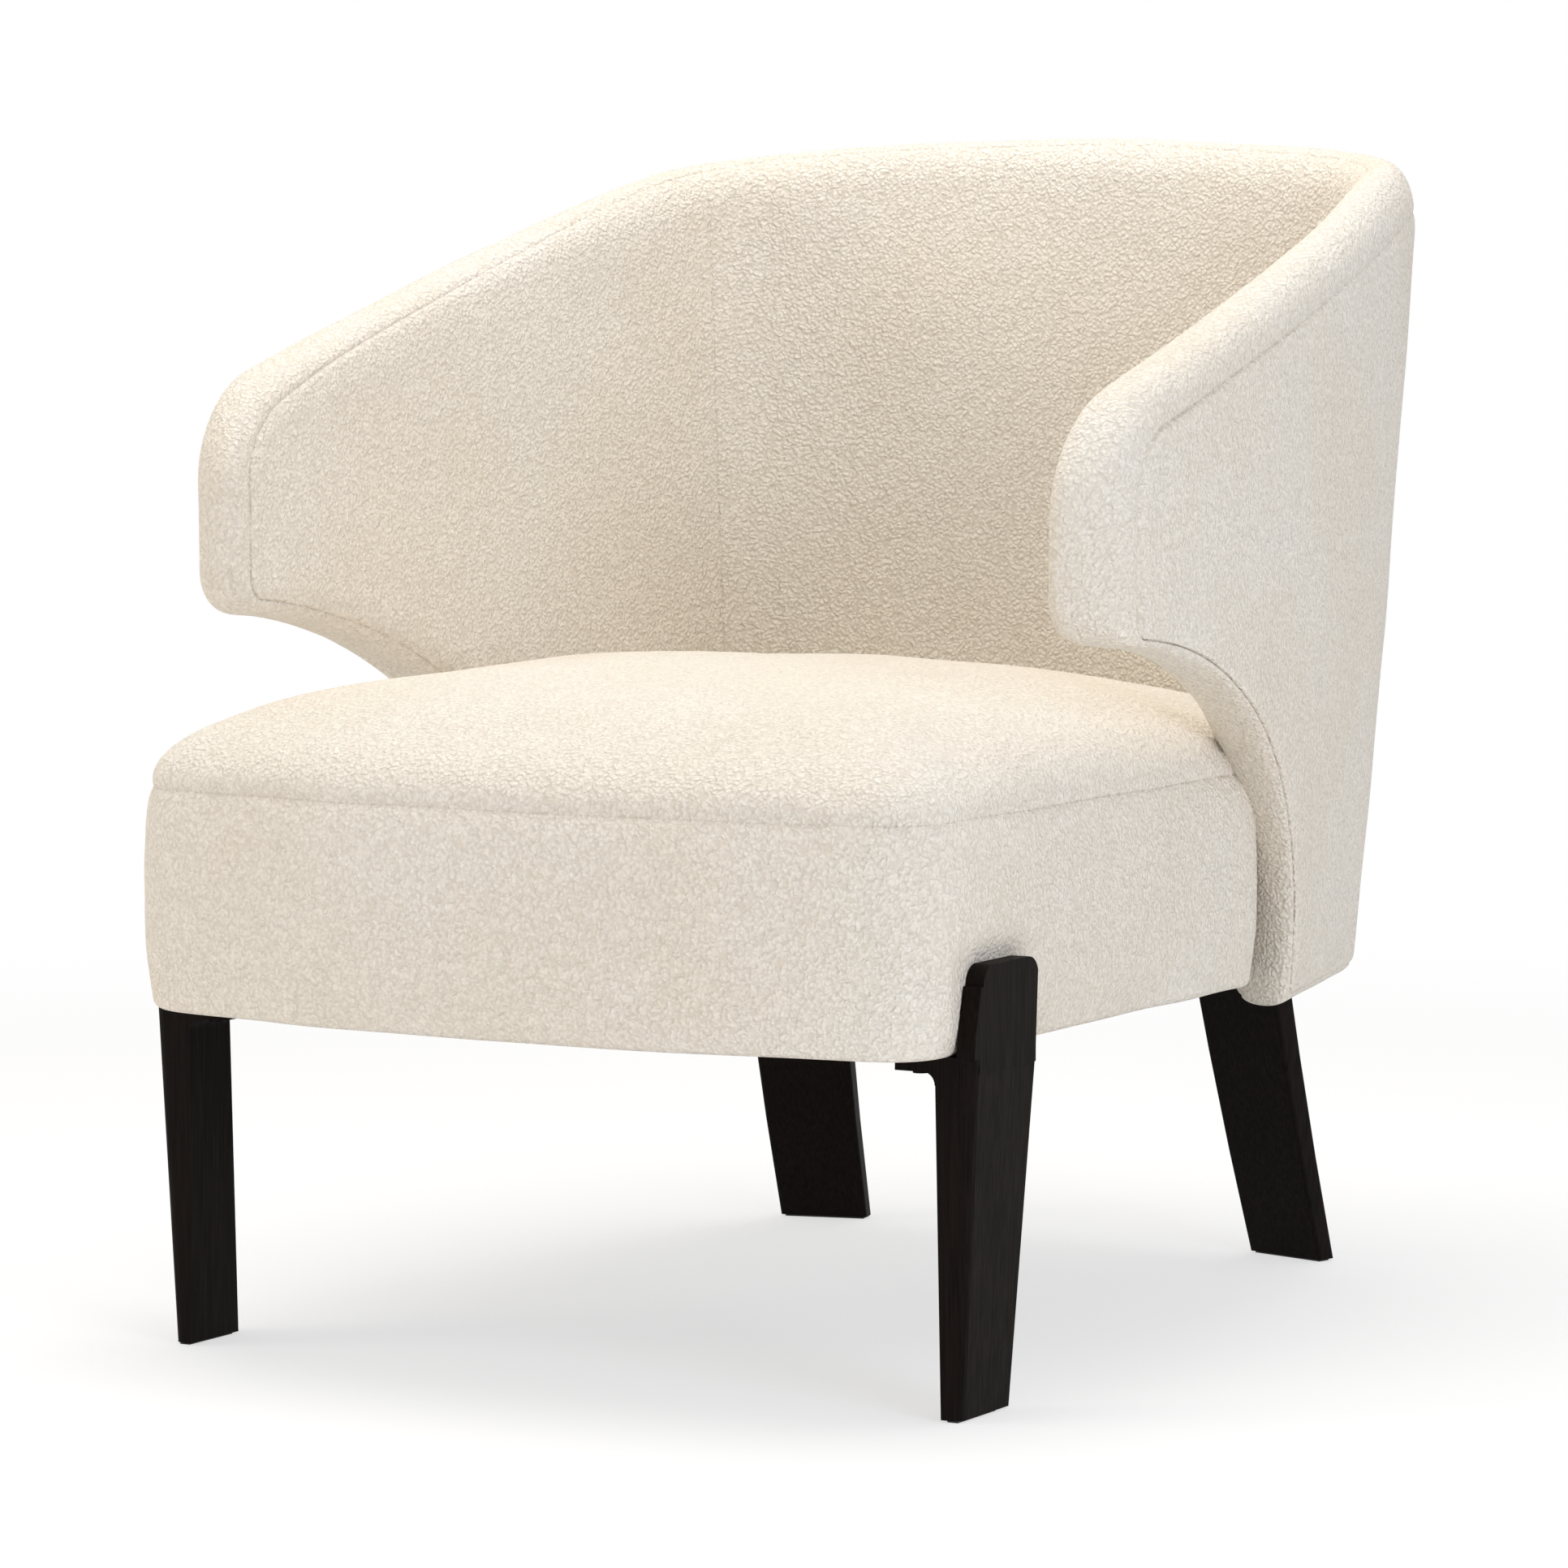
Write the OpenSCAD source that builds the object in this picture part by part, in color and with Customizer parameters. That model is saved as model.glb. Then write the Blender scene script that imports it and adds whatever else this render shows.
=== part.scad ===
// Upholstered armchair: a padded shell wraps round a crowned seat on four dark wooden legs.
// All sizes are in millimetres. +Z is up, the chair faces -Y, and the sitter's left is +X.
// The origin is on the floor, under the middle of the chair.

/* [Main sizes] */
// depth of the chair, from the seat's front to the back of the rear legs
chair_depth = 844; // [820:2:880]
// half of the seat's width; the shell and the legs follow it
seat_half_width = 291; // [276:1:306]

/* [Back and arm shell] */
// radius of the back, seen from above, at the middle of the shell's thickness
back_radius = 860; // [700:10:1100]
// radius of the corner between the back and an arm
corner_radius = 80; // [60:1:100]
// sideways distance of the corner's centre in from the seat's side
corner_in = 98; // [88:1:110]
// distance of the corner's centre from the chair's back
corner_from_back = 149; // [140:1:160]
// angle that an arm opens outwards where it leaves the corner
arm_flare = 13; // [6:0.5:16]
// radius of an arm's gentle curve, seen from above
arm_radius = 2200; // [1500:50:4000]
// part of the chair's depth that an arm doesn't cover
arm_short = 321; // [300:1:350]
// height of the top seam at the middle of the back
back_height = 791; // [720:1:860]
// radius of the arch along the top of the back
arch_radius = 2650; // [2000:50:5000]
// drop of the arm's top for each millimetre forwards
arm_slope = 0.293; // [0.2:0.001:0.33]
// height of the shell's lower seam
shell_bottom = 219; // [200:1:225]
// outward lean of the back for each millimetre up
back_lean = 0.07; // [0.03:0.005:0.1]
// outward lean of the arms' fronts for each millimetre up
arm_lean = 0.015; // [0:0.005:0.03]
// length of the cut below an arm, from the arm's front, on the outer side
notch_length = 348; // [310:1:380]
// how much further back the cut reaches on the inner side
notch_slant = 26; // [0:1:60]
// height of the cut below an arm
notch_height = 262; // [220:1:280]
// rounding of an arm's top front corner
arm_top_round = 50; // [30:1:60]
// rounding of an arm's lower front corner
arm_low_round = 26; // [15:1:32]
// turn of an arm's front face to the outside, in degrees
arm_end_turn = 22; // [0:1:28]
// thickness of the shell between its two seams
shell_thick = 49; // [44:0.5:60]
// swell of the border band between its seams, along the top and the arms' fronts
band_swell = 8; // [5:0.5:14]
// swell of the border band along the shell's underside
low_swell = 3; // [3:0.5:8]
// distance that the shell draws in at its hem
hem_tuck = 4; // [0:0.5:6]
// distance from the end of the corner to the upright seam inside
seam_setback = 22; // [8:1:40]

/* [Cloth and padding] */
// thickness of the looped cover cloth
cloth = 2.5; // [1.5:0.1:3]
// thickness of the moulded plywood inside the shell
ply_thick = 10; // [8:0.5:12]
// distance from the middle of the shell to the plywood's front face
ply_front = 1; // [0:0.5:4]
// distance from the seams to the plywood's edge
ply_inset = 8; // [6:0.5:14]
// gap left between two layers
layer_gap = 0.3; // [0.2:0.05:0.5]

/* [Seat] */
// how far the seam of the seat's front lies behind the chair's front
seat_setback = 5.5; // [5:0.5:12]
// radius of the seat's front, seen from above
seat_front_radius = 1240; // [900:10:2000]
// rounding of the seat's front corners
seat_corner = 46; // [35:1:60]
// swell of the seat's front and corners between the hem and the seam
front_swell = 5; // [1:0.5:8]
// swell of the seat's sides between the hem and the seam
side_swell = 3; // [0:0.5:4]
// rounding where the seat's side turns in behind the shell's edge
seat_tuck = 28; // [20:1:32]
// height of the seat's underside
seat_bottom = 229.5; // [220:0.5:240]
// height of the seam round the seat
seat_seam = 375; // [350:1:400]
// rise of the crowned top above the seam
seat_crown = 73; // [55:1:85]
// fullness of the crowned top at the front: more is flatter with tighter edges
crown_power = 4; // [2.5:0.1:5]
// fullness of the crowned top at the back
crown_power_back = 2.2; // [1.8:0.1:4]
// height of the seat's centre line that the crown shrinks to, front to back
crown_centre = -37; // [-80:1:20]
// thickness of the padding round the seat frame
side_padding = 8; // [5:0.5:12]

/* [Seat frame] */
// thickness of the plywood base ring
base_thick = 18; // [15:1:21]
// thickness of a seat rail
rail_thick = 26; // [20:1:30]
// top of the front and back rails above the base ring
rail_height = 62; // [50:1:66]
// width of the base ring beside its opening
ring_side = 111; // [101:1:126]
// width of the base ring in front of its opening
ring_front = 99.5; // [88:0.5:116]
// distance of the opening's back edge in front of the corner's centre
ring_back = 45; // [35:1:90]
// width of a webbing strap
strap_width = 60; // [50:1:70]
// thickness of a webbing strap
strap_thick = 1.6; // [1:0.1:2.5]
// thickness of the felt over the straps
felt_thick = 1.5; // [1:0.1:3]
// thickness of the dust cloth under the seat
dust_thick = 0.8; // [0.5:0.1:1.2]
// width of the cover cloth that is turned under the base ring
turn_under = 40; // [30:1:50]

/* [Front legs] */
// distance of a front leg's middle behind the seat's front
front_leg_in = 114.5; // [104:0.5:126]
// how far a front leg's outer face lies outside the seat's side at the floor
front_foot_out = 4.5; // [-3:0.5:12]
// how far a front leg's outer face lies outside the seat's side at the seat
front_top_out = 16; // [12:0.5:21]
// distance that a front leg's front edge comes forward on its way up
front_rake = 3.5; // [0:0.5:8]
// width of a front leg's outer face at the floor
front_foot_depth = 65; // [55:1:75]
// width of a front leg's inner face at the floor
front_foot_inner = 56; // [50:1:70]
// width of a front leg's outer face at the seat
front_top_depth = 82; // [76:1:92]
// width of a front leg's inner face at the seat
front_inner_depth = 47; // [42:1:65]
// thickness of a front leg at the floor
front_foot_thick = 13.5; // [11:0.5:18]
// thickness of a front leg at the seat
front_top_thick = 28; // [22:1:34]
// rounding of a front leg's outer front edge
front_edge_round = 7; // [3:0.5:9]
// height of the tab that rises beside the seat
tab_top = 286; // [275:1:300]
// rounding of the tab's top corners
tab_round = 13; // [6:1:20]
// length of the ear that lies under the seat
ear_length = 28; // [22:1:34]
// thickness of the ear
ear_thick = 10; // [8:0.5:12]

/* [Rear legs] */
// sideways distance of a rear leg's middle in from the corner's centre, at the floor
rear_foot_in = 1; // [-8:1:10]
// distance of a rear leg's middle behind the corner's centre, at the floor
rear_foot_back = 96; // [80:1:104]
// sideways distance of a rear leg's middle in from the corner's centre, at the seat
rear_top_in = 12; // [8:1:16]
// distance of a rear leg's middle behind the corner's centre, at the seat
rear_top_back = 25; // [20:1:25]
// width of a rear leg at the floor
rear_foot_width = 66; // [55:1:75]
// width of a rear leg at the seat
rear_top_width = 75; // [66:1:80]
// thickness of a rear leg at the floor
rear_foot_thick = 16; // [13:0.5:22]
// thickness of a rear leg at the seat
rear_top_thick = 20; // [18:0.5:24]
// turn of a rear leg seen from above, in degrees
rear_turn = 15; // [10:1:18]
// bow of a rear leg out of a straight line
rear_bow = 3; // [0:0.5:8]

/* [Fastenings and glides] */
// height of the glides under the legs
glide_height = 1.5; // [1:0.5:4]
// distance from a leg's edge to its glide
glide_inset = 3; // [2:0.5:4]
// diameter of the screws through the ears
screw_d = 5; // [4:0.5:6]
// distance between the two screws of an ear
screw_pitch = 26; // [20:1:32]
// diameter of the leg and back bolts
bolt_d = 6; // [5:0.5:8]
// distance between the two bolts of a rear leg
bolt_pitch = 28; // [24:1:30]
// distance from a rear leg's middle to the middle of its bolts, forwards
bolt_forward = 5.5; // [5:0.5:6]
// distance from a rear leg's middle to the middle of its bolts, inwards
bolt_inward = 10; // [8:0.5:12]
// outside diameter of the threaded inserts
insert_d = 9; // [8.5:0.5:10]
// distance of a back bolt from the middle of the chair
back_bolt_x = 110; // [80:5:130]
// height of the back bolts
back_bolt_z = 285; // [278:1:292]

/* [Hidden] */
$fn = 48;

// places that follow the main sizes
seat_front = seat_setback - chair_depth / 2;
corner_x = seat_half_width - corner_in;
corner_y = chair_depth / 2 - corner_from_back;
arm_length = chair_depth - arm_short;
opening_half_width = seat_half_width - ring_side;
opening_front = seat_front + ring_front;
opening_back = corner_y - ring_back;
front_leg_y = seat_front + front_leg_in;
front_foot_x = seat_half_width + front_foot_out;
front_top_x = seat_half_width + front_top_out;
rear_foot_x = corner_x - rear_foot_in;
rear_foot_y = corner_y + rear_foot_back;
rear_top_x = corner_x - rear_top_in;
rear_top_y = corner_y + rear_top_back;

// plan of the shell's middle line, measured along it from the middle of the back
half = shell_thick / 2;
back_turn = asin(corner_x / (back_radius - corner_radius));
back_centre_y = corner_y - (back_radius - corner_radius) * cos(back_turn);
corner_turn = 90 - arm_flare - back_turn;
s_back = back_radius * back_turn * PI / 180;
s_corner = s_back + corner_radius * corner_turn * PI / 180;
s_arm = s_corner + arm_length;
s_seam = s_corner - seam_setback;
lean_height = 500; // height at which the plan is drawn
lean_fade = 0.75; // share of the arm over which the lean fades
kink_blend = 8; // softening where the arm's top meets the back's top

// number of steps along each stretch of the shell and up it
back_steps = 3;
corner_steps = 4;
seam_steps = 2;
side_steps = 3;
notch_steps = 8;
round_steps = 4;
rows = 3;
seam_index = back_steps + corner_steps;

function turned(r, a) = [r * sin(a), r * cos(a)];
function clamp01(v) = max(0, min(1, v));

// point and outward normal of the middle line at distance s
function line_at(s) =
  s < s_back ? let (a = s / back_radius * 180 / PI)
    [[0, back_centre_y] + turned(back_radius, a), turned(1, a)]
  : s < s_corner ? let (a = back_turn + (s - s_back) / corner_radius * 180 / PI)
    [[corner_x, corner_y] + turned(corner_radius, a), turned(1, a)]
  : let (g = arm_flare - (s - s_corner) / arm_radius * 180 / PI)
    [[corner_x, corner_y] + turned(corner_radius, 90 - arm_flare)
      + arm_radius * [cos(g) - cos(arm_flare), sin(g) - sin(arm_flare)], turned(1, 90 - g)];

// how far in the hem draws the shell at height z
function hem_pull(z) = hem_tuck * pow(clamp01((lean_height - z) / (lean_height - shell_bottom)), 2);

// point of the shell at distance s, height z and offset off from the middle of its thickness
function shell_point(s, z, off) =
  let (a = abs(s), l = line_at(a), w = clamp01((s_arm - a) / (arm_length * lean_fade)),
    lean = arm_lean + (back_lean - arm_lean) * w,
    p = l[0] + (off + lean * (z - lean_height) - w * hem_pull(z)) * l[1])
  [s < 0 ? -p[0] : p[0], p[1], z];

// top seam's height: the back's arch and the arm's slope, blended; e is the distance past the seam
function back_top(s) = back_height - s * s / 2 / arch_radius;
function arm_top(s) = back_top(s_seam) - arm_slope * (s - s_seam);
function top_z(s, e) =
  let (a = back_top(s), b = arm_top(s))
  (a + b - sqrt((a - b) * (a - b) + kink_blend * kink_blend)) / 2 + e;

function arm_end(off, e) = s_arm + e - off * tan(arm_end_turn);
function fullness(off) = 1 - pow(off / half, 2);
function swell(off) = band_swell * fullness(off);
function swell_low(off) = low_swell * fullness(off);

// columns of one half of the shell: distance, lower height, upper height;
// e and el are the distances past the seam above and below
function half_columns(off, e, el) =
  let (nl = notch_length + notch_slant * (0.5 - off / 2 / half) - el, nh = notch_height - el, low = shell_bottom - el,
    s_notch = s_arm - nl, s_end = arm_end(off, e),
    rt = arm_top_round + e, rl = arm_low_round + e, rz = arm_low_round + el, s_round = s_end - rt,
    last = acos((s_arm - s_round) / nl))
  concat(
    [for (i = [0:back_steps - 1]) let (s = s_back * i / back_steps) [s, low, top_z(s, e)]],
    [for (i = [0:corner_steps - 1]) let (s = s_back + (s_seam - s_back) * i / corner_steps) [s, low, top_z(s, e)]],
    [for (i = [0:seam_steps - 1]) let (s = s_seam + (s_corner - s_seam) * i / seam_steps) [s, low, top_z(s, e)]],
    [for (i = [0:side_steps - 1]) let (s = s_corner + (s_notch - s_corner) * i / side_steps) [s, low, top_z(s, e)]],
    [for (i = [0:notch_steps]) let (a = last * i / notch_steps, s = s_arm - nl * cos(a))
      [s, i == 0 ? low : shell_bottom + nh * sin(a), top_z(s, e)]],
    [for (i = [1:round_steps]) let (a = 90 * i / round_steps, s = s_round + rt * sin(a),
      into = max(0, s - s_end + rl), across = clamp01((s_arm - s) / nl))
      [s, shell_bottom + nh * sqrt(1 - across * across) + rz * (1 - sqrt(1 - pow(min(1, into / rl), 2))),
        top_z(s, e) - rt * (1 - cos(a))]]);
function columns(off, e, el) =
  let (h = half_columns(off, e, el))
  concat([for (i = [len(h) - 1:-1:1]) [-h[i][0], h[i][1], h[i][2]]], h);
function part_of(list, first, last) = [for (i = [first:last]) list[i]];

function sheet_points(cols, off) =
  [for (c = cols) for (r = [0:rows]) shell_point(c[0], c[1] + (c[2] - c[1]) * r / rows, off)];

// closed sheet between two offsets; each side has its own columns
module sheet(cols_in, off_in, cols_out, off_out) {
  n = len(cols_in);
  m = rows + 1;
  b = n * m;
  polyhedron(
    points = concat(sheet_points(cols_in, off_in), sheet_points(cols_out, off_out)),
    faces = concat(
      [for (i = [0:n - 2]) for (j = [0:rows - 1]) for (t = quad(i * m + j, (i + 1) * m + j, (i + 1) * m + j + 1, i * m + j + 1)) t],
      [for (i = [0:n - 2]) for (j = [0:rows - 1]) for (t = quad(b + i * m + j, b + i * m + j + 1, b + (i + 1) * m + j + 1, b + (i + 1) * m + j)) t],
      [for (i = [0:n - 2]) for (t = quad(i * m, b + i * m, b + (i + 1) * m, (i + 1) * m)) t],
      [for (i = [0:n - 2]) for (t = quad(i * m + rows, (i + 1) * m + rows, b + (i + 1) * m + rows, b + i * m + rows)) t],
      [for (j = [0:rows - 1]) for (t = quad(j, j + 1, b + j + 1, b + j)) t],
      [for (j = [0:rows - 1]) let (k = (n - 1) * m) for (t = quad(k + j, b + k + j, b + k + j + 1, k + j + 1)) t]));
}
function quad(a, b, c, d) = [[a, b, c], [a, c, d]];

// closed run of points round the shell's rim at one offset
end_steps = 2;
function rim(off, e, el) =
  let (c = columns(off, e, el), n = len(c), r = c[n - 1])
  concat([for (k = c) shell_point(k[0], k[2], off)],
    [for (i = [1:end_steps]) shell_point(r[0], r[2] + (r[1] - r[2]) * i / (end_steps + 1), off)],
    [for (i = [n - 1:-1:0]) shell_point(c[i][0], c[i][1], off)],
    [for (i = [1:end_steps]) shell_point(-r[0], r[1] + (r[2] - r[1]) * i / (end_steps + 1), off)]);

// closed ring that sweeps a profile of [offset, distance past the seam above, and below] round the rim
module rim_sweep(profile) {
  runs = [for (p = profile) rim(p[0], p[1], p[2])];
  n = len(runs[0]);
  m = len(profile);
  polyhedron(
    points = [for (r = runs) for (p = r) p],
    faces = [for (i = [0:m - 1]) for (k = [0:n - 1])
      let (a = i * n, b = (i + 1) % m * n, k2 = (k + 1) % n)
      for (t = quad(a + k, a + k2, b + k2, b + k)) t]);
}

// seat outline: right half from the front's middle to the back's middle
front_centre_y = seat_front + seat_front_radius;
seat_corner_x = seat_half_width - seat_corner;
seat_corner_y = front_centre_y - sqrt(pow(seat_front_radius - seat_corner, 2) - pow(seat_corner_x, 2));
front_turn = asin(seat_corner_x / (seat_front_radius - seat_corner));
s_edge = s_arm - notch_length;
tuck_y = shell_point(s_edge + band_swell, seat_bottom, 0)[1] - seat_tuck;
tuck_reach = 8; // the seat follows the shell's inside from this far behind its front edge
tuck_steps = 4;
least_corner = 30; // least distance from a corner's centre, before the lean
front_steps = 4;

// the swell is given as a share of its full size
function seat_half(z, inset, full) =
  let (front = front_swell * full - inset, side = side_swell * full - inset,
    tuck = max(seat_tuck - inset, 2), tuck_x = seat_half_width - inset - tuck)
  concat(
    [for (i = [0:front_steps - 1]) let (a = front_turn * i / front_steps)
      [0, front_centre_y] + (seat_front_radius + front) * [sin(a), -cos(a)]],
    [for (i = [0:front_steps]) let (a = front_turn + (90 - front_turn) * i / front_steps)
      [seat_corner_x, seat_corner_y] + [(seat_corner + side) * sin(a), -(seat_corner + front) * cos(a)]],
    [for (i = [0:tuck_steps]) let (a = 90 + 70 * i / tuck_steps, r = tuck + side_swell * full * (1 - i / tuck_steps))
      [tuck_x, tuck_y] + r * [sin(a), -cos(a)]],
    [for (i = [0:side_steps]) let (s = s_edge - tuck_reach + (s_corner - s_edge + tuck_reach) * i / (side_steps + 1),
      p = shell_point(s, z, -half - layer_gap - inset)) [p[0], p[1]]],
    [for (i = [0:corner_steps + 1]) let (s = s_corner + (s_back - s_corner) * i / (corner_steps + 2),
      p = shell_point(s, z, max(-half - layer_gap - inset, least_corner - corner_radius))) [p[0], p[1]]],
    [for (i = [0:back_steps]) let (s = s_back * (1 - i / back_steps),
      p = shell_point(s, z, -half - layer_gap - inset)) [p[0], p[1]]]);
function seat_outline(z, inset, full = 0) =
  let (h = seat_half(z, inset, full), n = len(h))
  concat(h, [for (i = [n - 2:-1:1]) [-h[i][0], h[i][1]]]);

module seat_prism(z0, z1, inset, z_fit) {
  translate([0, 0, z0])
    linear_extrude(z1 - z0)
      polygon(seat_outline(z_fit, inset));
}

// outline shrunk towards the crown's centre by share k, and the same as a ring of points at height z
function shrunk_outline(z_fit, inset, k, full = 0) =
  [for (p = seat_outline(z_fit, inset, full)) [p[0] * k, crown_centre + (p[1] - crown_centre) * k]];
function seat_ring(z, z_fit, inset, k, full = 0) =
  [for (p = shrunk_outline(z_fit, inset, k, full)) [p[0], p[1], z]];
function crown_ring(z, z_fit, inset, k) =
  [for (p = shrunk_outline(z_fit, inset, k)) let (back = clamp01((p[1] - crown_centre) / k / crown_blend),
    power = crown_power + (crown_power_back - crown_power) * back)
    [p[0], p[1], z + seat_crown * sqrt(1 - pow(k, power))]];

// closed solid through a stack of rings; the first and last rings are capped, or joined into a tube
module ring_stack(rings, tube) {
  n = len(rings[0]);
  m = len(rings);
  side = [for (i = [0:(tube ? m - 1 : m - 2)]) for (k = [0:n - 1])
    let (a = i * n, b = (i + 1) % m * n, k2 = (k + 1) % n)
    for (t = quad(a + k, b + k, b + k2, a + k2)) t];
  caps = tube ? [] : [[for (k = [0:n - 1]) k], [for (k = [n - 1:-1:0]) (m - 1) * n + k]];
  polyhedron(points = [for (r = rings) for (p = r) p], faces = concat(side, caps));
}

// heights through the seat
turn_low = seat_bottom + dust_thick + layer_gap;
base_low = turn_low + cloth + layer_gap;
base_top = base_low + base_thick;
rail_top = base_top + rail_height;
strap_low = rail_top;
cross_low = strap_low + strap_thick + layer_gap;
felt_low = cross_low + strap_thick + layer_gap;
foam_low = felt_low + felt_thick + layer_gap;
frame_inset = cloth + side_padding + 2 * layer_gap;
hem_round = 5; // rounding of the cover's lower edge
crown_shares = [1, 0.985, 0.95, 0.88, 0.77, 0.6, 0.38, 0.16];
crown_blend = 300; // distance over which the front's fullness turns into the back's
// heights of the border's rings, the inset of each and its share of the swell
border_rings = [[0, hem_round, 0], [hem_round, hem_round / 4, 0.15], [3 * hem_round, 0, 0.45],
  [45, 0, 0.9], [75, 0, 1], [105, 0, 0.9], [130, 0, 0.5]];

module seat_cover_border() {
  rings = concat([for (r = border_rings) [base_low + r[0], r[1], r[2]]], [[seat_seam, 0, 0]]);
  color("ivory")
    difference() {
      ring_stack(concat(
        [for (r = rings) seat_ring(r[0], r[0], r[1], 1, r[2])],
        [for (i = [len(rings) - 1:-1:0]) let (r = rings[i]) seat_ring(r[0], r[0], r[1] + cloth, 1, r[2])]), true);
      back_bolt_holes(bolt_d / 2 + 1);
    }
}
module seat_cover_top() {
  low = seat_seam + layer_gap;
  color("ivory")
    ring_stack(concat(
      [for (i = [len(crown_shares) - 1:-1:0]) let (k = crown_shares[i])
        crown_ring(low - (k < 1 ? cloth : 0), low, cloth, k)],
      [for (k = crown_shares) crown_ring(low, low, 0, k)]), false);
}

module seat_foam() {
  drop = cloth + layer_gap;
  color("khaki")
    ring_stack(concat(
      [seat_ring(foam_low, foam_low, drop, 1), seat_ring(seat_seam - drop, seat_seam - drop, drop, 1)],
      [for (k = crown_shares) if (k < 1) crown_ring(seat_seam - drop - layer_gap, seat_seam, drop, k)]),
      false);
}

module seat_side_padding() {
  low = base_low + 3 * hem_round;
  high = felt_low + felt_thick;
  out = cloth + layer_gap;
  color("lightyellow")
    difference() {
      ring_stack([seat_ring(low, low, out, 1), seat_ring(high, high, out, 1),
        seat_ring(high, base_low, frame_inset - layer_gap, 1), seat_ring(low, base_low, frame_inset - layer_gap, 1)], true);
      back_bolt_holes(bolt_d / 2 + 1);
    }
}

module seat_cover_turn_under() {
  k = 1 - turn_under / seat_half_width;
  color("ivory")
    difference() {
      seat_prism(turn_low, turn_low + cloth, hem_round, base_low);
      translate([0, 0, turn_low - 1])
        linear_extrude(cloth + 2)
          polygon(shrunk_outline(base_low, hem_round, k));
      leg_screw_holes();
      rear_bolt_holes();
    }
}

// opening with round corners
opening_round = 30;
module round_box(x, y0, y1, z0, height) {
  translate([0, 0, z0])
    linear_extrude(height)
      union() {
        translate([-x, y0 + opening_round])
          square([2 * x, y1 - y0 - 2 * opening_round]);
        translate([-x + opening_round, y0])
          square([2 * x - 2 * opening_round, y1 - y0]);
        for (sx = [-1, 1])
          for (y = [y0 + opening_round, y1 - opening_round])
            translate([sx * (x - opening_round), y])
              circle(r = opening_round);
      }
}

module seat_base_ring() {
  color("burlywood")
    difference() {
      seat_prism(base_low, base_top, frame_inset, base_low);
      round_box(opening_half_width, opening_front, opening_back, base_low - 1, base_thick + 2);
      leg_screw_holes();
      rear_insert_holes();
    }
}

// rails stand on the base ring and follow the seat's outline
front_joint = opening_front - 20;
back_joint = opening_back + 20;
module rail_band(y0, y1, top) {
  intersection() {
    difference() {
      seat_prism(base_top, top, frame_inset, base_low);
      seat_prism(base_top - 1, top + 1, frame_inset + rail_thick, base_low);
    }
    translate([-seat_half_width, y0, base_top - 1])
      cube([2 * seat_half_width, y1 - y0, top - base_top + 2]);
  }
}
module seat_front_rail() {
  color("tan")
    rail_band(2 * seat_front, front_joint, rail_top);
}
module seat_back_rail() {
  color("tan")
    difference() {
      rail_band(back_joint, back_joint + back_radius, rail_top);
      back_bolt_holes(bolt_d / 2 + 0.1);
    }
}
module seat_side_rail() {
  color("wheat")
    intersection() {
      rail_band(front_joint, back_joint, cross_low);
      translate([0, 2 * seat_front, 0])
        cube([2 * seat_half_width, 4 * back_radius, cross_low]);
    }
}
module seat_side_rail_left() { seat_side_rail(); }
module seat_side_rail_right() { mirror([1, 0, 0]) seat_side_rail(); }

block = 58; // length of a corner block along each rail
block_share = 0.7; // height of a block as a share of the rail's
module corner_block(x, y, turn) {
  intersection() {
    translate([x, y, base_top])
      rotate([0, 0, turn])
        linear_extrude(rail_height * block_share)
          polygon([[-block, -block], [block, -block], [-block, block]]);
    seat_prism(base_top, rail_top, frame_inset + rail_thick, base_low);
  }
}
module corner_blocks_front() {
  color("peru")
    for (m = [0, 1])
      mirror([m, 0, 0])
        corner_block(seat_corner_x, seat_corner_y + 10, 90);
}
module corner_blocks_back() {
  color("peru")
    for (m = [0, 1])
      mirror([m, 0, 0])
        corner_block(corner_x - 5, corner_y - 25, 180);
}

strap_count_x = 5;
strap_count_y = 6;
strap_pitch_x = 78;
strap_end = 4; // distance from a strap's end to the frame's outer edge
module strap_field(z0) {
  intersection() {
    seat_prism(z0, z0 + strap_thick, frame_inset + strap_end, base_low);
    union()
      children();
  }
}
module straps_lengthwise() {
  color("gray")
    strap_field(strap_low)
      for (i = [0:strap_count_x - 1])
        translate([(i - (strap_count_x - 1) / 2) * strap_pitch_x - strap_width / 2, 2 * seat_front, strap_low - 1])
          cube([strap_width, 4 * back_radius, strap_thick + 2]);
}
module straps_crosswise() {
  span = back_joint - front_joint;
  pitch = span / strap_count_y;
  color("dimgray")
    strap_field(cross_low)
      for (i = [0:strap_count_y - 1])
        translate([-seat_half_width, front_joint + pitch * (i + 0.5) - strap_width / 2, cross_low - 1])
          cube([2 * seat_half_width, strap_width, strap_thick + 2]);
}
module deck_felt() {
  color("darkgray")
    seat_prism(felt_low, felt_low + felt_thick, frame_inset, base_low);
}

module dust_cloth() {
  color("black")
    difference() {
      seat_prism(seat_bottom, seat_bottom + dust_thick, hem_round + 12, base_low);
      leg_screw_holes();
      rear_bolt_holes();
    }
}

// front legs: a tapered blade with a tab beside the seat and an ear under it
ear_top = seat_bottom - layer_gap;
ear_low = ear_top - ear_thick;
skin = 0.5; // thickness of the slices that a leg is drawn through
foot_front = front_leg_y - front_foot_depth / 2;
top_front = foot_front - front_rake;
tab_in = seat_half_width + side_swell + layer_gap;
edge_steps = 4;
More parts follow.
